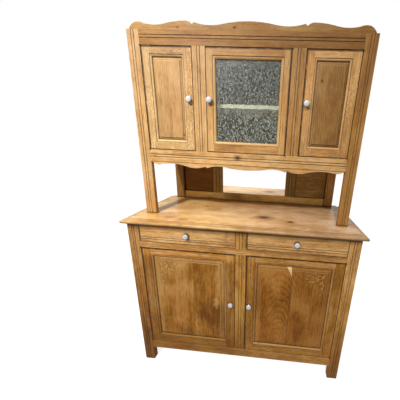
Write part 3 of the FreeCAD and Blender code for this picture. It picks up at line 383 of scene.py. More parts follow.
def oak_look(bench, point, lot, wood):
    """Colour, roughness and height of oak at a point given across, through and along the grain.
    lot is three numbers that differ from board to board."""
    tones = wood.tones()
    dark, _, light = tones
    year = bench.math("FRACT", years(bench, point, lot, wood))
    ring = bench.ramp(year, [(where, (level,) * 3) for where, level in GROWTH])
    own = bench.vector("ADD", point, bench.vector("MULTIPLY", lot, (3.0, 3.0, 3.0)))
    patch = bench.noise(own, *PATCH)
    parts = ((bench.noise(own, *FINE), FINE_SHARE), (bench.noise(own, *STREAK), wood.streaks),
             (patch, PATCH_SHARE), (bench.noise(own, *CLOUD), wood.clouds))
    share = bench.math("MULTIPLY_ADD", ring, wood.rings, 0.5)
    for part, amount in parts:
        swing = bench.math("MULTIPLY", bench.math("SUBTRACT", part, 0.5), amount * wood.figure)
        share = bench.math("ADD", share, swing)
    tilt = bench.math("SUBTRACT", bench.part(lot)[1], 0.5)
    share = bench.math("MULTIPLY_ADD", tilt, wood.boards, share)
    colour = bench.ramp(share, list(zip(TONE_STOPS, tones)))

    shine = tuple(part * SHEEN_UP for part in light)
    if wood.fleck:
        ray = bench.fade(bench.noise(own, *FLECK), *FLECK_EDGE)
        ray = bench.math("MULTIPLY", ray, bench.part(lot)[2])
        colour = bench.mix(bench.math("MULTIPLY", ray, wood.fleck), colour, shine)
    if wood.flame:
        lick = bench.fade(bench.noise(own, *FLAME), *FLAME_EDGE, 0.0, wood.flame)
        where = bench.fade(bench.noise(own, *FLAME_AREA), *FLAME_PLACES)
        colour = bench.mix(bench.math("MULTIPLY", lick, where), colour, shine)
    pore = bench.math("MULTIPLY", bench.fade(bench.noise(own, *PORE), *PORE_EDGE),
                      bench.fade(year, *PORE_YEAR))
    colour = bench.mix(bench.math("MULTIPLY", pore, PORE_SHARE), colour, dark)
    grit = bench.fade(bench.noise(own, *GRIT), *GRIT_EDGE)
    colour = bench.mix(grit, colour, dark)
    amber = bench.fade(bench.noise(own, *AMBER_AREA), *AMBER_EDGE)
    colour = bench.mix(amber, colour, AMBER_TINT, "MULTIPLY")
    if wood.patches:
        x, _, z = bench.part(own_shape(bench, point))
    for across, along, half_wide, half_long, amount, paint in wood.patches:
        far = bench.length(bench.past(x, across, half_wide), bench.past(z, along, half_long))
        colour = bench.mix(bench.fade(far, 0.0, 1.5, amount, 0.0), colour, paint)
    heart = tuple(part * 0.20 for part in dark)
    for knot in wood.knots:
        far = knot_ring(bench, point, knot)
        colour = bench.mix(bench.fade(far, 0.9, 3.4, 0.85, 0.0), colour, dark)
        colour = bench.mix(bench.fade(far, 0.6, 1.4, 0.97, 0.0), colour, heart)

    height = bench.math("SUBTRACT", bench.math("MULTIPLY", ring, 0.5), pore)
    rough = bench.math("MULTIPLY_ADD", patch, 0.18, bench.math("MULTIPLY_ADD", pore, 0.2, 0.44))
    return colour, rough, height


def line_at(bench, distance, middle, half, strength):
    """strength on a line at a distance of middle, and nothing half a line's width from it."""
    away = bench.math("ABSOLUTE", bench.math("SUBTRACT", distance, middle))
    return bench.fade(away, half * 0.4, half, strength, 0.0)


def uneven(bench, share):
    """A share that thins out here and there: soiling, rubbing, painted shade and highlights."""
    blot = bench.noise(bench.place(), *BLOT)
    return bench.math("MULTIPLY", share, bench.fade(blot, *BLOT_EDGE))


def coat(bench, look, wood, dark=None, pale=None, mend=None):
    """Oak's surface from its colour, roughness and height: painted shade with dark soiling in hollows
    and joints, paler rubbed edges that are partly painted highlight, pores as relief. dark is a share
    of more painted shade with soiling, pale a share of painted highlight with rubbing, and mend the
    place to look for the repair."""
    colour, rough, height = look
    rub_and_highlight = tuple(min(part * gain + lift, most)
                for part, (gain, lift, most) in zip(wood.tones()[2], RUBBED))
    # paler rubbed edges: wear, and painted highlights on the arrises
    soft = bench.add("ShaderNodeBevel", {"Radius": ARRIS}, samples=4).outputs[0]
    sharp = bench.add("ShaderNodeNewGeometry").outputs["Normal"]
    edge = bench.add("ShaderNodeVectorMath", {0: soft, 1: sharp}, operation="DOT_PRODUCT")
    rubbed = bench.fade(edge.outputs["Value"], *RUB_EDGE, wood.wear_highlight, 0.0)
    colour = bench.mix(uneven(bench, rubbed), colour, rub_and_highlight)
    # pale: painted highlight with rubbing on mouldings, arrises and carved tops
    if pale:
        colour = bench.mix(uneven(bench, pale), colour, rub_and_highlight)
    # tints, some of them painted falloff of light and painted shade
    for axis, low, high, tint in wood.tints:
        share = bench.fade(bench.part(bench.place())["xyz".index(axis)], low, high)
        colour = bench.mix(share, colour, tint, "MULTIPLY")
    # dark: painted shade with dirt in gaps, quirks, steps and cuts
    if dark:
        colour = bench.mix(uneven(bench, dark), colour, DIRT_AND_SHADE)
    if mend:
        colour = wedge(bench, colour, *mend)
    # painted shade: darker in hollows and corners, where shade falls, with dirt mixed in
    hollow_shade = bench.fade(bench.corners(wood.hollow, samples=8), *HOLLOW_SHADE_EDGE, wood.shade_dirt, 0.0)
    colour = bench.mix(hollow_shade, colour, DIRT_AND_SHADE)
    relief = bench.bump(height, 0.35, GRAIN_DEEP, Normal=soft)
    rough = bench.math("SUBTRACT", rough, wood.polish)
    return bench.finish(bench.surface(Base_Color=colour, Roughness=rough, Normal=relief,
                                      Specular_IOR_Level=wood.gloss))


def lots(bench, number):
    """Three even random numbers for a board's number."""
    return bench.add("ShaderNodeTexWhiteNoise", {"W": number}, noise_dimensions="1D").outputs["Color"]


def oak(name, order, wood, board, start):
    """Oak whose grain runs along the last of the three axes in order. Boards are board wide
    across the grain, and one edge lies at start."""
    bench = Bench(name)
    xyz = dict(zip("xyz", bench.part(bench.place())))
    across, through, along = (xyz[axis] for axis in order)
    number = bench.math("FLOOR", bench.past(across, start, board))
    lot = lots(bench, bench.math("ADD", number, wood.seed))
    return coat(bench, oak_look(bench, bench.join(across, through, along), lot, wood), wood)


# -------- painted shade and highlights, dirt and wear on panels and doors
# painted shade in the gaps round a door or drawer, with some dirt: reach in metres and strength
BROAD_SHADE_DIRT, THIN_SHADE_DIRT = (0.0085, 0.92), (0.0036, 0.45)
FOOT_SHADE_DIRT, HEAD_SHADE_DIRT = (0.0040, 0.50), (0.0075, 0.95)
# how strong a line is at the foot, at the head and on the sides of a frame, set by how light
# falls: step and quirk are painted shade, arris and ovolo painted highlight
STEP_SHADE_SHARES, ARRIS_HIGHLIGHT_SHARES = (1.0, 0.9, 0.6), (0.15, 1.0, 0.55)
QUIRK_SHADE_SHARES, OVOLO_HIGHLIGHT_SHARES = (0.35, 0.85, 0.55), (0.55, 0.15, 0.25)
TONGUE = 0.007  # panel edge inside the frame's groove
MOST_BOARDS = 8  # in one panel
WEDGE_TOP = (0.2400, 0.2710, 0.7465)  # left, right and height of the repair wedge's top
WEDGE_TIP = (0.2745, 0.6780)
WEDGE_GRAIN = ((400.0, 1.0, 30.0), 3.0, 0.6)
WEDGE_WOOD = ((0.3, (0.60, 0.34, 0.12)), (0.6, (0.86, 0.60, 0.30)))
WEDGE_HOLLOW = 1.4  # how strongly its left side is drawn in
WEDGE_GAP, WEDGE_EDGE = (-0.0008, 0.0016, 0.6), (-0.0004, 0.0006, 0.0, 0.95)
MENDED = "lower_right_door_panel"
# by the height of the carving: painted shade with dirt in its cuts, painted highlight with
# wear on its tops, and paler wood there as painted highlight
CUT_SHADE_DIRT, CUT_HIGHLIGHT_RUB = (0.15, 0.55, 0.75, 0.0), (0.60, 0.90, 0.0, 0.60)
CUT_HIGHLIGHT_PALE = (0.45, 0.80, 0.0, 0.55)


def gap_shade_dirt(bench, x, z, low, high, dark_side=-1):
    """Painted shade with some soiling along the edges of a door or drawer: most at the top and on
    the dark side, which is -1 for the left and 1 for the right."""
    left, right = (BROAD_SHADE_DIRT, THIN_SHADE_DIRT) if dark_side < 0 else (THIN_SHADE_DIRT, BROAD_SHADE_DIRT)
    edges = ((bench.math("SUBTRACT", x, low.x), *left), (bench.math("SUBTRACT", high.x, x), *right),
             (bench.math("SUBTRACT", z, low.z), *FOOT_SHADE_DIRT),
             (bench.math("SUBTRACT", high.z, z), *HEAD_SHADE_DIRT))
    total = 0.0
    for gap, wide, strength in edges:
        total = bench.math("MAXIMUM", total, bench.fade(gap, wide * 0.35, wide, strength, 0.0))
    return total


class Framed:
    """Where a point lies on a panel or frame round the box from low to high, grown all round."""

    def __init__(self, bench, x, z, low, high, grown=0.0):
        self.bench = bench
        self.side = bench.math("SUBTRACT", x, (low.x + high.x) / 2)
        self.rise = bench.math("SUBTRACT", z, (low.z + high.z) / 2)
        self.across = bench.math("SUBTRACT", (high.x - low.x) / 2 + grown,
                                 bench.math("ABSOLUTE", self.side))
        self.up = bench.math("SUBTRACT", (high.z - low.z) / 2 + grown,
                             bench.math("ABSOLUTE", self.rise))
        self.border = bench.math("MINIMUM", self.across, self.up)

    def line(self, middle, half, strength):
        """A line all round at a distance of middle inside the outline."""
        return line_at(self.bench, self.border, middle, half, strength)

    def shared(self, share, foot, head, sides):
        """A share, made weaker by its own amount at the foot, at the head and on the sides."""
        level = self.bench.math("LESS_THAN", self.up, self.across)
        over = self.bench.math("GREATER_THAN", self.rise, 0.0)
        weight = self.bench.choose(level, sides, self.bench.choose(over, foot, head))
        return self.bench.math("MULTIPLY", share, weight)


def wedge(bench, colour, x, z):
    """A pale wedge let into the panel of the lower right door, as a repair. Its left side is
    hollow and runs out in a thin tail."""
    left, right, top = WEDGE_TOP
    tip_x, tip_z = WEDGE_TIP
    share = bench.past(z, tip_z, top - tip_z, clamp=True)
    hollow = bench.math("POWER", share, WEDGE_HOLLOW)
    past_left = bench.math("SUBTRACT", x, bench.math("MULTIPLY_ADD", hollow, left - tip_x, tip_x))
    to_right = bench.math("SUBTRACT", bench.math("MULTIPLY_ADD", share, right - tip_x, tip_x), x)
    inside = bench.math("MINIMUM", past_left, to_right)
    inside = bench.math("MINIMUM", inside, bench.math("SUBTRACT", top, z))
    colour = bench.mix(line_at(bench, inside, *WEDGE_GAP), colour, DIRT_AND_SHADE)
    wood = bench.ramp(bench.noise(bench.join(x, 0.0, z), *WEDGE_GRAIN), WEDGE_WOOD)
    return bench.mix(bench.fade(inside, *WEDGE_EDGE), colour, wood)


def panel_oak(name, node, joints, wood, edge):
    """A panel glued up from upright boards: joints are the shares of its width where one board
    ends and the next begins. Its raised field begins edge inside its outline, with painted
    highlight and rubbing along the arris and painted shade with soiling at the foot of the step."""
    low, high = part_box(node)
    bench = Bench(name)
    x, y, z = bench.part(bench.place())
    share = bench.past(x, low.x, high.x - low.x)
    starts = [(0.0, (0.0,) * 3)]
    starts += [(joint, ((index + 1) / MOST_BOARDS,) * 3) for index, joint in enumerate(joints)]
    board = bench.part(bench.ramp(share, starts, "CONSTANT"))[0]
    lot = lots(bench, bench.math("MULTIPLY_ADD", board, MOST_BOARDS, wood.seed))
    look = oak_look(bench, bench.join(x, y, z), lot, wood)
    shape = Framed(bench, x, z, low, high)
    # painted shade with dirt at the foot of the field's step and round the tongue
    step = bench.math("MAXIMUM", shape.line(edge - 0.0015, 0.0024, 0.6),
                      shape.line(TONGUE, 0.0030, 0.6))
    # painted highlight with wear along the field's arris and bevel
    arris = bench.math("MAXIMUM", shape.line(edge + 0.0005, 0.0065, wood.wear_highlight),
                       shape.line(edge - 0.0070, 0.0150, wood.wear_highlight * 0.55))
    return coat(bench, look, wood, shape.shared(step, *STEP_SHADE_SHARES),
                shape.shared(arris, *ARRIS_HIGHLIGHT_SHARES), (x, z) if node == MENDED else None)


def door_oak(name, door, moulding, wood):
    """The oak of a framed door. The grain runs up the stiles and along the rails, and changes
    on the mitre of the moulding between them, which is moulding wide."""
    glazed = door == "glazed_door"
    bench = Bench(name)
    x, y, z = bench.part(bench.place())
    filling = f"{door}_glass" if glazed else f"{door}_panel"
    shape = Framed(bench, x, z, *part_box(filling), moulding - TONGUE)
    rail = bench.math("GREATER_THAN", shape.across, bench.math("MAXIMUM", shape.up, 0.0))
    right = bench.math("GREATER_THAN", shape.side, 0.0)
    over = bench.math("GREATER_THAN", shape.rise, 0.0)
    number = bench.choose(rail, right, bench.math("ADD", over, 2.0))
    lot = lots(bench, bench.math("ADD", number, wood.seed))
    point = bench.join(bench.choose(rail, x, z), y, bench.choose(rail, z, x))
    look = oak_look(bench, point, lot, wood)
    # painted shade in the gaps round the door, with some dirt
    edges = gap_shade_dirt(bench, x, z, *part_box(f"{door}_frame"), 1 if glazed else -1)
    # painted shade in the quirk, strongest at the head
    quirk = shape.shared(shape.line(0.0002, 0.0024, 1.0), *QUIRK_SHADE_SHARES)
    # painted highlight on the ovolo, strongest at the foot
    ovolo = shape.shared(shape.line(moulding * 0.55, moulding * 0.7, 1.0), *OVOLO_HIGHLIGHT_SHARES)
    return coat(bench, look, wood, bench.math("MAXIMUM", edges, quirk), ovolo)


def carved_oak(name, wood):
    """Carved oak read from the height of the relief: painted shade with soiling in the cuts, and
    painted highlight with rubbing and paler wood on the high parts.
    """
    bench = Bench(name)
    cut = bench.add("ShaderNodeAttribute", attribute_name="relief").outputs["Fac"]
    # dark is painted shade with dirt in the cuts, pale painted highlight with wear on the tops
    dark, pale = bench.fade(cut, *CUT_SHADE_DIRT), bench.fade(cut, *CUT_HIGHLIGHT_RUB)
    colour, rough, height = oak_look(bench, bench.place(), lots(bench, wood.seed), wood)
    # paler wood on the high parts: painted highlight
    colour = bench.mix(bench.fade(cut, *CUT_HIGHLIGHT_PALE), colour, PALE)
    return coat(bench, (colour, rough, height), wood, dark, pale)


def front_oak(name, node, wood):
    """A drawer front, its grain from side to side, with painted shade and some soiling on its edges.
    """
    bench = Bench(name)
    x, y, z = bench.part(bench.place())
    look = oak_look(bench, bench.join(z, y, x), lots(bench, wood.seed), wood)
    return coat(bench, look, wood, gap_shade_dirt(bench, x, z, *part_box(node)))


# -------- other finishes
DIMPLE_SHAPE = (1.0, 1.0, 0.55)  # dimples are longer upright than across
DIMPLES = ((205.0, 205.0, 205.0), 1.0, 0.5, 1.0)
GLASS_BEND = 1.15  # index of refraction, low so that the shelf shows in place
SPECK_SHARE = 0.42  # share of the light that the dimples scatter
SPECK_EDGE = (0.41, 0.63)


def porcelain():
    """White glaze, faintly blue, with a soft depth under the gloss."""
    bench = Bench("knob_porcelain")
    place = bench.place()
    cloud = bench.noise(place, (60.0, 60.0, 60.0), 3.0)
    colour = bench.ramp(cloud, [(0.3, (0.44, 0.48, 0.49)), (0.7, (0.58, 0.61, 0.61))])
    speck = bench.fade(bench.noise(place, (900.0, 900.0, 900.0), 1.0), 0.74, 0.80, 0.0, 0.35)
    colour = bench.mix(speck, colour, (0.30, 0.27, 0.22))
    # painted shade with some dirt: darker in hollows near the knob's foot
    colour = bench.mix(bench.fade(bench.corners(0.012), 0.35, 0.85, 0.9, 0.0), colour, DIRT_AND_SHADE)
    rough = bench.math("MULTIPLY_ADD", cloud, 0.12, 0.10)
    return bench.finish(bench.surface(
        Base_Color=colour, Roughness=rough, Normal=bench.bump(cloud, 0.15, 0.0005),
        Coat_Weight=0.4, Coat_Roughness=0.08, Subsurface_Weight=0.1, Subsurface_Scale=0.003))


def hammered_glass():
    """Obscure glass with small hammered dimples: part of the light is scattered on them, with light
    specks painted in as glints and dark specks between, and the rest passes through, blurred. Lamps
    shine through it."""
    bench = Bench("hammered_glass")
    place = bench.place()
    dent = bench.noise(bench.vector("MULTIPLY", place, DIMPLE_SHAPE), *DIMPLES)
    # light specks painted into the colour as glints off the dimples
    colour = bench.ramp(bench.fade(dent, *SPECK_EDGE),
                        [(0.0, (0.008, 0.008, 0.006)), (0.50, (0.036, 0.036, 0.028)),
                         (1.0, (0.51, 0.51, 0.42))])
    # darker towards the top
    low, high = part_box("glazed_door_glass")
    head = bench.fade(bench.part(place)[2], low.z, high.z)
    colour = bench.mix(head, colour, (0.60, 0.61, 0.66), "MULTIPLY")
    dimple = bench.bump(dent, 0.7, 0.002)
    specks = bench.surface(Base_Color=colour, Roughness=0.35, Normal=dimple)
    through = bench.add("ShaderNodeBsdfRefraction", {
        "Color": (0.95, 0.97, 0.90, 1.0), "Roughness": 0.18, "IOR": GLASS_BEND, "Normal": dimple})
    pane = bench.add("ShaderNodeMixShader", {0: SPECK_SHARE, 1: through.outputs[0], 2: specks})
    clear = bench.add("ShaderNodeBsdfTransparent", {"Color": (0.9, 0.9, 0.86, 1.0)})
    shade = bench.add("ShaderNodeLightPath").outputs["Is Shadow Ray"]
    both = {0: shade, 1: pane.outputs[0], 2: clear.outputs[0]}
    return bench.finish(bench.add("ShaderNodeMixShader", both).outputs[0])


def shelf_paint():
    """Old cream paint on the shelf behind the glass, thin and brushed."""
    bench = Bench("shelf_paint")
    place = bench.place()
    brush = bench.noise(place, (4.0, 160.0, 160.0), 4.0, 0.6)
    worn = bench.fade(bench.noise(place, (22.0, 40.0, 60.0), 5.0, 0.65), 0.62, 0.72)
    colour = bench.ramp(brush, [(0.3, (0.88, 0.88, 0.75)), (0.7, (0.95, 0.95, 0.85))])
    colour = bench.mix(worn, colour, (0.42, 0.30, 0.17))
    return bench.finish(bench.surface(
        Base_Color=colour, Roughness=bench.math("MULTIPLY_ADD", brush, 0.2, 0.4),
        Normal=bench.bump(brush, 0.3, 0.0004)))


def mirror_silver():
    """Silvered glass with a little haze."""
    bench = Bench("mirror_silver")
    haze = bench.noise(bench.place(), (14.0, 14.0, 14.0), 4.0)
    rough = bench.fade(haze, 0.35, 0.8, 0.005, 0.05)
    colour = bench.ramp(haze, [(0.2, (0.94, 0.95, 0.94)), (0.8, (0.98, 0.98, 0.97))])
    return bench.finish(bench.surface(Base_Color=colour, Roughness=rough, Metallic=1.0))


def aged_brass():
    """Dull brass with brown patina in patches."""
    bench = Bench("aged_brass")
    patina = bench.noise(bench.place(), (180.0, 180.0, 180.0), 4.0, 0.6)
    colour = bench.ramp(patina, [(0.35, (0.03, 0.018, 0.007)), (0.65, (0.20, 0.13, 0.045))])
    # painted shade with dirt in the hollows and gaps round the brass
    colour = bench.mix(bench.fade(bench.corners(0.01), 0.3, 0.9, 1.0, 0.0), colour, DIRT_AND_SHADE)
    return bench.finish(bench.surface(
        Base_Color=colour, Roughness=bench.fade(patina, 0.3, 0.7, 0.6, 0.32), Metallic=1.0,
        Normal=bench.bump(patina, 0.2, 0.0002)))


# -------- new pieces
def piece(name, points, faces, finish, body, slot, smooth=True):
    """A mesh piece that rides on a body and wears the finish given; slot is not used."""
    mesh = bpy.data.meshes.new(name)
    mesh.from_pydata(points, [], faces)
    mesh.validate()
    mesh.polygons.foreach_set("use_smooth", np.full(len(mesh.polygons), smooth))
    mesh.materials.append(finish)
    thing = add_object(name, mesh)
    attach(thing, body)
    return thing


def flowing(points, steps):
    """A smooth line through points: between two of them, the cubic whose slope at each is half
    the way from the point before to the point after."""
    points = np.asarray(points, float)
    before = np.vstack([2 * points[0] - points[1], points[:-2]])
    after = np.vstack([points[2:], 2 * points[-1] - points[-2]])
    start, end = points[:-1, None], points[1:, None]
    leave = (points[1:] - before)[:, None] / 2
    arrive = (after - points[:-1])[:, None] / 2
    t = np.linspace(0, 1, steps, endpoint=False)[None, :, None]
    curve = ((2 * t ** 3 - 3 * t ** 2 + 1) * start + (t ** 3 - 2 * t ** 2 + t) * leave
             + (3 * t ** 2 - 2 * t ** 3) * end + (t ** 3 - t ** 2) * arrive)
    return np.vstack([curve.reshape(-1, points.shape[1]), points[-1:]])


def turned(profile, sides, centre):
    """Points and faces of a profile of (radius, distance out) turned about an axis that points
    to the front: x = radius cos a, z = radius sin a, y = -out, closed to a point at both ends."""
    radius, out = np.asarray(profile, float).T
    angle = np.linspace(0, 2 * np.pi, sides, endpoint=False)
    rings = np.stack([np.outer(radius, np.cos(angle)), np.repeat(-out[:, None], sides, 1),
                      np.outer(radius, np.sin(angle))], axis=2).reshape(-1, 3)
    ends = np.array([[0, -out[0], 0], [0, -out[-1], 0]])
    points = np.vstack([rings, ends]) + np.asarray(centre)
    step = np.arange(sides)
    after = (step + 1) % sides
    faces = []
    for ring in range(len(radius) - 1):
        a, b = ring * sides, (ring + 1) * sides
        faces += np.stack([a + step, a + after, b + after, b + step], axis=1).tolist()
    first, last = len(rings), len(rings) + 1
    tail = (len(radius) - 1) * sides
    faces += np.stack([after, step, np.full(sides, first)], axis=1).tolist()
    faces += np.stack([tail + step, tail + after, np.full(sides, last)], axis=1).tolist()
    return points, faces


KNOB_LINE = (
    # radius, distance out from the door
    (0.0070, 0.0000), (0.0069, 0.0008), (0.0060, 0.0018), (0.0058, 0.0030), (0.0078, 0.0052),
    (0.0118, 0.0082), (0.0137, 0.0122), (0.0135, 0.0160), (0.0112, 0.0191), (0.0065, 0.0208),
    (0.0025, 0.0213), (0.0002, 0.0214),
)
KNOB_STEPS, KNOB_SIDES = 6, 64
NUT_LINE = ((0.0046, 0.0), (0.0046, 0.0024), (0.0040, 0.0030), (0.0021, 0.0030))
SCREW_LINE = ((0.0020, 0.0), (0.0020, 0.0046), (0.0015, 0.0052))
KNOBS = {
    # body: centre across, face of its door or drawer, height
    "lower_left_door": (-0.0515, LOWER_FACE, 0.480),
    "lower_right_door": (0.0515, LOWER_FACE, 0.480),
    "upper_left_door": (-0.2755, UPPER_FACE, 1.539),
    "glazed_door": (-0.1780, UPPER_FACE, 1.539),
    "upper_right_door": (0.2755, UPPER_FACE, 1.539),
    "left_drawer": (-0.2850, LOWER_FACE, 0.878),
    "right_drawer": (0.2850, LOWER_FACE, 0.878),
}


def knobs(glaze, brass):
    """A glazed knob on the front of each door and drawer, with the nut and the end of its screw
    on the inner side."""
    for body, (across, face, high) in KNOBS.items():
        points, faces = turned(flowing(KNOB_LINE, KNOB_STEPS), KNOB_SIDES, (across, face, high))
        knob = piece(f"{body}_glazed_knob", points, faces, glaze, body, "porcelain")
        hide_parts(f"{body}_knob")
        inner = (across, face + DOOR_THICK, high)
        for name, line, sides in (("nut", NUT_LINE, 6), ("screw_end", SCREW_LINE, 20)):
            backward = [(radius, -out) for radius, out in reversed(line)]
            points, faces = turned(backward, sides, inner)
            piece(f"{body}_{name}", points, faces, brass, body, "hinge_brass", smooth=False)


# -------- carved corners
CARVED = {"lower_left_door": 1, "lower_right_door": -1}  # way from the outer edge inwards
FIELD_FACE = -0.2317  # face of a lower door's raised field
CARVE_DEEP = 0.0029  # height of the carving over the field
CARVE_SUNK = -0.0003  # plain ground, just behind the field
CARVE_SIZE = (0.126, 0.152)  # how far it reaches inwards and down
CARVE_STEP = 0.0006  # spacing of its grid
CARVE_MARGIN = 0.001
FIELD_EDGE = 0.027  # width of the panel's border
LOBES, VEINS = 4, 16  # of one leaf, along its rib
LEAF_STEPS, STEM_STEPS = 30, 14
RIB_WIDE = 0.0011
STEM_WIDE = 0.0026
STEMS = (
    # points of a stem, inwards and down from the field's upper outer corner
    ((0.012, 0.012), (0.030, 0.022), (0.052, 0.026), (0.078, 0.020), (0.100, 0.024),
     (0.108, 0.036), (0.098, 0.044), (0.090, 0.037)),
    ((0.012, 0.012), (0.022, 0.034), (0.022, 0.060), (0.016, 0.086), (0.018, 0.112),
     (0.026, 0.130), (0.022, 0.146)),
    ((0.024, 0.030), (0.042, 0.044), (0.060, 0.052), (0.078, 0.056), (0.088, 0.066)),
)
LEAVES = (
    # root, tip, bend to one side and greatest half width
    ((0.016, 0.014), (0.036, 0.040), 0.004, 0.0085),
    ((0.034, 0.018), (0.056, 0.006), 0.006, 0.0065),
    ((0.050, 0.022), (0.070, 0.038), 0.007, 0.0080),
    ((0.070, 0.018), (0.092, 0.006), -0.006, 0.0065),
    ((0.086, 0.018), (0.112, 0.014), 0.006, 0.0070),
    ((0.104, 0.030), (0.120, 0.048), 0.006, 0.0060),
    ((0.036, 0.036), (0.050, 0.062), -0.006, 0.0080),
    ((0.058, 0.050), (0.074, 0.074), -0.006, 0.0080),
    ((0.076, 0.052), (0.102, 0.060), 0.006, 0.0070),
    ((0.022, 0.046), (0.044, 0.072), 0.006, 0.0075),
    ((0.022, 0.062), (0.006, 0.084), -0.005, 0.0055),
    ((0.017, 0.084), (0.036, 0.102), 0.006, 0.0065),
    ((0.018, 0.108), (0.004, 0.126), -0.004, 0.0050),
    ((0.024, 0.124), (0.038, 0.142), 0.005, 0.0050),
)


def nearest(spine, points):
    """For each point, its distance from a spine and the share of the way along it."""
    gap = points[:, None, :] - spine[None, :, :]
    far = np.hypot(gap[..., 0], gap[..., 1])
    where = far.argmin(1)
    return far[np.arange(len(points)), where], where / (len(spine) - 1)


def leaf_relief(points, leaf):
    """Height of one leaf from 0 to 1: a blade of width w sin(pi t^0.8) round a bent rib, with a
    scalloped edge, a groove along the rib and slanting veins."""
    root, tip, bend, width = leaf
    root, tip = np.array(root), np.array(tip)
    way = tip - root
    aside = np.array([-way[1], way[0]]) / np.hypot(*way)
    spine = flowing([root, (root + tip) / 2 + aside * bend, tip], LEAF_STEPS)
    far, t = nearest(spine, points)
    scallop = 1 - 0.22 * np.abs(np.sin(t * np.pi * LOBES))
    reach = width * np.sin(np.pi * t ** 0.8) * scallop + 1e-6
    share = np.clip(far / reach, 0, 1)
    blade = np.sqrt(1 - share ** 2)
    rib = 0.45 * np.exp(-(far / RIB_WIDE) ** 2)
    vein = 0.12 * np.sin(t * np.pi * VEINS - far / width * 5) * (share < 0.9)
    return np.where(far < reach, np.clip(blade * (0.75 + vein) - rib * blade + 0.2, 0, 1), 0)


def stem_relief(points, stem):
    """Height of a round stem that thins to its end."""
    far, t = nearest(flowing(stem, STEM_STEPS), points)
    thick = STEM_WIDE * (1 - 0.45 * t)
    return 0.75 * np.sqrt(np.clip(1 - (far / thick) ** 2, 0, 1))


def carving(door, finish):
    """Foliage in low relief in the upper outer corner of a lower door's panel: a height field
    over a grid, y = face - height, just behind the field where nothing is carved."""
    low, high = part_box(f"{door}_panel")
    way = CARVED[door]
    corner = (low.x if way > 0 else high.x) + way * FIELD_EDGE
    across, down = (np.arange(CARVE_MARGIN, size, CARVE_STEP) for size in CARVE_SIZE)
    grid = np.stack(np.meshgrid(across, down), axis=2).reshape(-1, 2)
    height = np.zeros(len(grid))
    for stem in STEMS:
        height = np.maximum(height, stem_relief(grid, stem))
    for leaf in LEAVES:
        height = np.maximum(height, leaf_relief(grid, leaf))
    lift = np.where(height > 0, height * CARVE_DEEP, CARVE_SUNK)
    x = corner + way * grid[:, 0]
    z = high.z - FIELD_EDGE - grid[:, 1]
    points = np.stack([x, FIELD_FACE - lift, z], axis=1)
    columns, rows = len(across), len(down)
    first = (np.arange(rows - 1)[:, None] * columns + np.arange(columns - 1)[None, :]).ravel()
    faces = np.stack([first, first + columns, first + columns + 1, first + 1], axis=1)
    if way < 0:
        faces = faces[:, ::-1]
    carved = piece(f"{door}_carving", points, faces.tolist(), finish, door, "door_oak")
    relief = carved.data.attributes.new("relief", "FLOAT", "POINT")
    relief.data.foreach_set("value", height)


# -------- finishes on the CAD pieces
# knots as (across the grain, along it, radius)
COUNTER_KNOTS = ((-0.083, 0.101, 0.016), (-0.128, 0.250, 0.008))
BREAST_KNOTS = ((1.279, -0.0425, 0.007),)
CREST_KNOTS = ((1.829, -0.062, 0.0028), (1.827, -0.315, 0.0020))
# patches as (across the grain, along it, half width, half length, share, colour)
COUNTER_PATCHES = (
    (-0.180, -0.402, 0.022, 0.030, 0.90, AMBER), (-0.194, -0.317, 0.020, 0.030, 0.80, AMBER),
    (-0.188, -0.587, 0.014, 0.024, 0.75, AMBER), (0.250, -0.380, 0.040, 0.060, 0.55, AMBER),
    (-0.010, -0.400, 0.040, 0.090, 0.45, AMBER), (-0.090, 0.110, 0.030, 0.060, 0.65, AMBER),
    (0.120, 0.000, 0.080, 0.300, 0.40, AMBER), (-0.170, 0.280, 0.025, 0.070, 0.40, AMBER),
    (-0.060, -0.200, 0.040, 0.120, 0.60, GLOW), (-0.190, 0.030, 0.025, 0.180, 0.50, GLOW),
    (-0.080, -0.480, 0.030, 0.060, 0.60, GLOW),
)
LEFT_PATCHES = (
    (-0.136, 0.476, 0.018, 0.034, 0.60, PALE), (-0.254, 0.331, 0.010, 0.060, 0.45, PALE),
    (-0.120, 0.600, 0.016, 0.080, 0.45, PALE), (-0.340, 0.700, 0.030, 0.030, 0.40, PALE),
    (-0.210, 0.545, 0.018, 0.070, 0.45, SMOKED), (-0.280, 0.660, 0.016, 0.060, 0.35, SMOKED),
)
# a darker patch on the niche rail, left of its middle
RAIL_PATCHES = ((0.99, -0.13, 0.05, 0.10, 0.70, RAIL_DARKENING),)
# tints as (axis, from, to, colour that the wood is multiplied by there); several are painted
# light and shade
LOW = ("z", 0.75, 0.0, (0.44, 0.34, 0.20))
HIGH = ("z", 0.50, 0.85, (1.10, 1.16, 1.60))
# painted shadow of the counter's overhang on the tops of the drawer fronts and uprights
PAINTED_SHADE_UNDER_COUNTER = ("z", 0.890, 0.926, (0.45, 0.41, 0.34))
LEFT_LEG = ("x", -0.10, -0.45, (0.86, 0.82, 0.92))
RIGHT_LEG = ("x", 0.10, 0.45, (0.97, 0.97, 1.15))
# painted falloff of light: darker towards the right
PAINTED_FALLOFF_RIGHT = ("x", -0.35, 0.60, (0.59, 0.49, 0.28))
# painted falloff of light: darker towards the top
PAINTED_FALLOFF_TOP = ("z", 1.34, 1.80, (0.72, 0.72, 0.74))
# painted falloff of light: crest and top rail darker towards the right
PAINTED_FALLOFF_FAR = ("x", -0.50, 0.40, (0.66, 0.61, 0.54))
# painted falloff of light: darker towards the right
PAINTED_FALLOFF_DIM = ("x", -0.30, 0.45, (0.80, 0.78, 0.74))
# painted falloff of light with a painted cool glare: the counter darker and bluer towards the right
PAINTED_FALLOFF_AND_GLARE = ("x", -0.30, 0.45, (0.72, 0.72, 0.95))
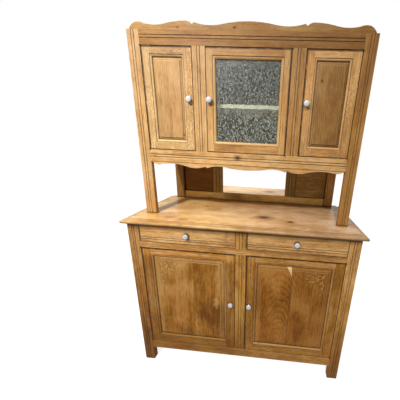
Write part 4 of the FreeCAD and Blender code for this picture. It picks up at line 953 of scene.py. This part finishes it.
# painted shade on the counter's front edge: a line just under the top, and darker under the nose
PAINTED_NOSE_SHADE_TOP = ("z", 0.9535, 0.9505, (0.72, 0.70, 0.66))
PAINTED_NOSE_SHADE_LOW = ("z", 0.941, 0.932, (0.40, 0.34, 0.26))
# painted shadow of the front left post on the rear left post
PAINTED_SHADOW_LEFT_BACK = ("x", 0.3, -0.5, (0.42, 0.40, 0.36))
LEFT_PLINTH = ("x", 0.25, -0.25, (0.60, 0.50, 0.28))
RIGHT_NICHE = ("x", -0.1, 0.1, (1.8, 2.65, 14.0))
LEFT_DOOR_FOOT = ("z", 0.45, 0.20, (0.70, 0.61, 0.34))
LEFT_DOOR_HEAD = ("z", 0.73, 0.76, (1.55, 1.60, 1.75))
RIGHT_DOOR_HEAD = ("z", 0.73, 0.76, (1.18, 1.24, 1.40))
RIGHT_PANEL = ("x", 0.20, 0.32, (0.88, 0.83, 0.79))
# painted light: the glazed door's frame brighter at its foot
PAINTED_LIGHT_GLAZED_FOOT = ("z", 1.34, 1.27, (1.06, 1.10, 1.25))
OAKS = (
    # name; axes across, through and along the grain; oak; boards' width and where one begins;
    # CAD pieces
    ("oak_lower_uprights", "xyz",
     Wood(HONEY, 3.0, 0.99, 1.3, cast=(1.05, 1.03, 0.78), shade_dirt=0.8, gloss=0.12,
          tints=(LOW, HIGH, LEFT_LEG, RIGHT_LEG, PAINTED_SHADE_UNDER_COUNTER)),
     0.3, 0.15, ("front_legs", "rear_legs", "centre_stiles")),
    ("oak_upper_uprights", "xyz",
     Wood(GOLDEN, 5.0, 0.99, 0.9, cast=(0.95, 0.97, 1.06), shade_dirt=0.85, tints=(PAINTED_FALLOFF_RIGHT, PAINTED_FALLOFF_TOP)),
     0.3, 0.15, ("upper_front_posts", "mullions")),
    ("oak_rear_posts", "xyz", Wood(HONEY, 6.0, 1.20, tints=(PAINTED_SHADOW_LEFT_BACK,)), 0.3, 0.15,
     ("upper_rear_posts",)),
    ("oak_niche_stiles", "xyz", Wood(OLIVE, 7.0, 0.75), 0.3, 0.15, ("niche_stiles",)),
    ("oak_niche_rail", "zyx", Wood(OLIVE, 9.0, 1.95, patches=RAIL_PATCHES, shade_dirt=0.7), 0.2, 0.8,
     ("niche_rails",)),
    ("oak_waist_rail", "zyx", Wood(HONEY, 11.0, 1.16, 1.2, cast=(1.0, 1.04, 1.2), tints=(PAINTED_FALLOFF_DIM,)),
     0.3, 0.55, ("waist_rail",)),
    ("oak_plinth_rail", "zyx",
     Wood(GOLDEN, 12.0, 0.76, 1.2, cast=(1.0, 0.93, 0.65), shade_dirt=0.6, gloss=0.15,
          tints=(LEFT_PLINTH,)),
     0.3, 0.0, ("plinth_rail",)),
    ("oak_top_rail", "zyx", Wood(GOLDEN, 13.0, 0.48, cast=(0.98, 0.83, 0.50), tints=(PAINTED_FALLOFF_FAR,)),
     0.3, 1.55, ("top_rail",)),
    ("oak_crest", "zyx",
     Wood(GOLDEN, 15.0, 0.52, cast=(0.97, 0.90, 0.60), knots=CREST_KNOTS, tints=(PAINTED_FALLOFF_FAR,)),
     0.3, 1.7, ("crest",)),
    ("oak_breast_rail", "zyx",
     Wood(GOLDEN, 17.0, 1.12, 1.2, cast=(0.93, 0.97, 1.05), knots=BREAST_KNOTS, tints=(PAINTED_FALLOFF_DIM,)),
     0.3, 1.1, ("breast_rail", "apron")),
    ("oak_counter", "yzx",
     Wood(GOLDEN, 31.0, 1.24, 1.1, cast=(1.05, 1.16, 1.28), streaks=0.35, rings=0.1, fleck=0.1,
          knots=COUNTER_KNOTS, patches=COUNTER_PATCHES, tints=(PAINTED_FALLOFF_AND_GLARE, PAINTED_NOSE_SHADE_TOP, PAINTED_NOSE_SHADE_LOW),
          shade_dirt=0.6, hollow=0.035, wear_highlight=0.4, gloss=0.18, polish=0.22),
     0.21, -0.30, ("countertop",)),
    ("oak_side_rails", "zxy", Wood(GOLDEN, 41.0), 0.2, 0.0,
     ("lower_side_rails", "upper_side_rails")),
    ("oak_side_panels", "yxz", Wood(GOLDEN, 47.0, rings=0.5), 0.16, -0.22,
     ("lower_side_panels", "upper_side_panels")),
    ("oak_niche_panels", "zyx",
     Wood(UMBER, 53.0, 1.36, cast=(1.0, 1.03, 0.5), rings=0.5, tints=(RIGHT_NICHE,)),
     0.6, 0.9, ("niche_panels",)),
    ("oak_back", "xyz", Wood(INSIDE, 61.0), 0.14, 0.0, ("lower_back_frame", "lower_back_panels")),
    ("oak_upper_back", "xyz", Wood(DUSTY, 63.0), 0.14, 0.0, ("upper_back_boards",)),
    ("oak_inside", "yzx", Wood(INSIDE, 71.0), 0.15, 0.0,
     ("lower_floor", "lower_shelf", "upper_floor", "upper_roof", "left_drawer_box",
      "right_drawer_box")),
    ("oak_runners", "xzy", Wood(INSIDE, 83.0), 0.3, 0.0,
     ("shelf_cleats", "drawer_runners", "glass_beads")),
)
DRAWER_FRONTS = (
    ("left_drawer_front", Wood(GOLDEN, 23.0, 1.06, 1.3, fleck=0.6, tints=(PAINTED_SHADE_UNDER_COUNTER,))),
    ("right_drawer_front", Wood(GOLDEN, 26.0, 0.98, 1.3, fleck=0.6, tints=(PAINTED_SHADE_UNDER_COUNTER,))),
)
# doors have less painted shade and dirt in hollows than the case, and the lower ones less gloss
THIN = {"shade_dirt": 0.7, "hollow": 0.008}
DULL = {"gloss": 0.12, **THIN}
DOORS = (
    # door; width of its moulding; oak of the frame; width of the border round the panel's field;
    # shares of the panel's width where its boards meet; oak of the panel
    ("lower_left_door", 0.0105,
     Wood(BROWN, 101.0, 0.90, 1.2, cast=(1.0, 1.03, 1.1), flame=0.35,
          tints=(LEFT_DOOR_FOOT, LEFT_DOOR_HEAD), **DULL),
     FIELD_EDGE, (0.55,),
     Wood(BROWN, 105.0, 1.0, 1.2, cast=(0.97, 0.97, 0.85), streaks=0.7, clouds=1.8, rings=0.25,
          year=0.012, lean=0.12, fleck=0.1, flame=0.2, patches=LEFT_PATCHES, boards=0.06, **DULL)),
    ("lower_right_door", 0.0105,
     Wood(BROWN, 111.0, 0.96, 1.2, cast=(1.0, 1.06, 1.1), flame=0.3, tints=(RIGHT_DOOR_HEAD,),
          **DULL),
     FIELD_EDGE, (0.49, 0.76),
     Wood(BROWN, 116.0, 0.79, 1.2, cast=(1.0, 0.91, 0.60), streaks=0.5, clouds=1.6, rings=0.75,
          year=0.010, lean=0.16, heart=(0.213, 0.19, 0.25), fleck=0.1, flame=0.3, boards=0.10,
          tints=(RIGHT_PANEL,), **DULL)),
    ("upper_left_door", 0.0095,
     Wood(GOLDEN, 121.0, 0.92, 0.9, cast=(0.94, 1.0, 1.08), fleck=0.6, flame=0.7, tints=(PAINTED_FALLOFF_TOP,),
          shade_dirt=0.6, hollow=0.008),
     0.019, (0.55,),
     Wood(GOLDEN, 125.0, 0.74, 0.9, cast=(0.98, 0.99, 1.06), streaks=0.5, year=0.007, fleck=0.1,
          knots=((-0.314, 1.3775, 0.002),), shade_dirt=0.5, hollow=0.008, wear_highlight=0.25)),
    ("upper_right_door", 0.0095,
     Wood(GOLDEN, 131.0, 0.68, cast=(1.0, 0.94, 0.86), fleck=0.5, flame=0.6, **THIN),
     0.019, (0.40,),
     Wood(HONEY, 135.0, 0.51, cast=(1.0, 0.97, 0.94), streaks=0.4, clouds=1.2, rings=0.3,
          year=0.009, fleck=0.1, knots=((0.335, 1.636, 0.0025),), shade_dirt=0.6, hollow=0.008,
          wear_highlight=0.3)),
    ("glazed_door", 0.0125,
     Wood(GOLDEN, 141.0, 0.92, 0.9, streaks=0.8, tints=(PAINTED_FALLOFF_RIGHT, PAINTED_FALLOFF_TOP, PAINTED_LIGHT_GLAZED_FOOT), **THIN),
     None, None, None),
)


def wear_finish(finish, *names):
    """Give a finish to CAD pieces."""
    for name in names:
        for slot in NODES[name].material_slots:
            slot.material = finish


def dress(brass):
    """Every CAD piece in its finish."""
    for name, order, wood, board, start, nodes in OAKS:
        wear_finish(oak(name, order, wood, board, start), *nodes)
    for node, wood in DRAWER_FRONTS:
        wear_finish(front_oak(f"oak_{node}", node, wood), node)
    for door, moulding, frame_wood, edge, joints, panel_wood in DOORS:
        wear_finish(door_oak(f"oak_{door}", door, moulding, frame_wood), f"{door}_frame")
        wear_finish(brass, f"{door}_hinges")
        if joints:
            panel = f"{door}_panel"
            wear_finish(panel_oak(f"oak_{panel}", panel, joints, panel_wood, edge), panel)
        if door in CARVED:
            carving(door, carved_oak(f"oak_{door}_carving", panel_wood))
    wear_finish(brass, "hinge_fixed_leaves")
    wear_finish(hammered_glass(), "glazed_door_glass")
    wear_finish(mirror_silver(), "mirror")
    wear_finish(shelf_paint(), "upper_shelf")


camera()
surroundings()
old_brass = aged_brass()
knobs(porcelain(), old_brass)
dress(old_brass)
bpy.context.scene.view_settings.view_transform = "Standard"
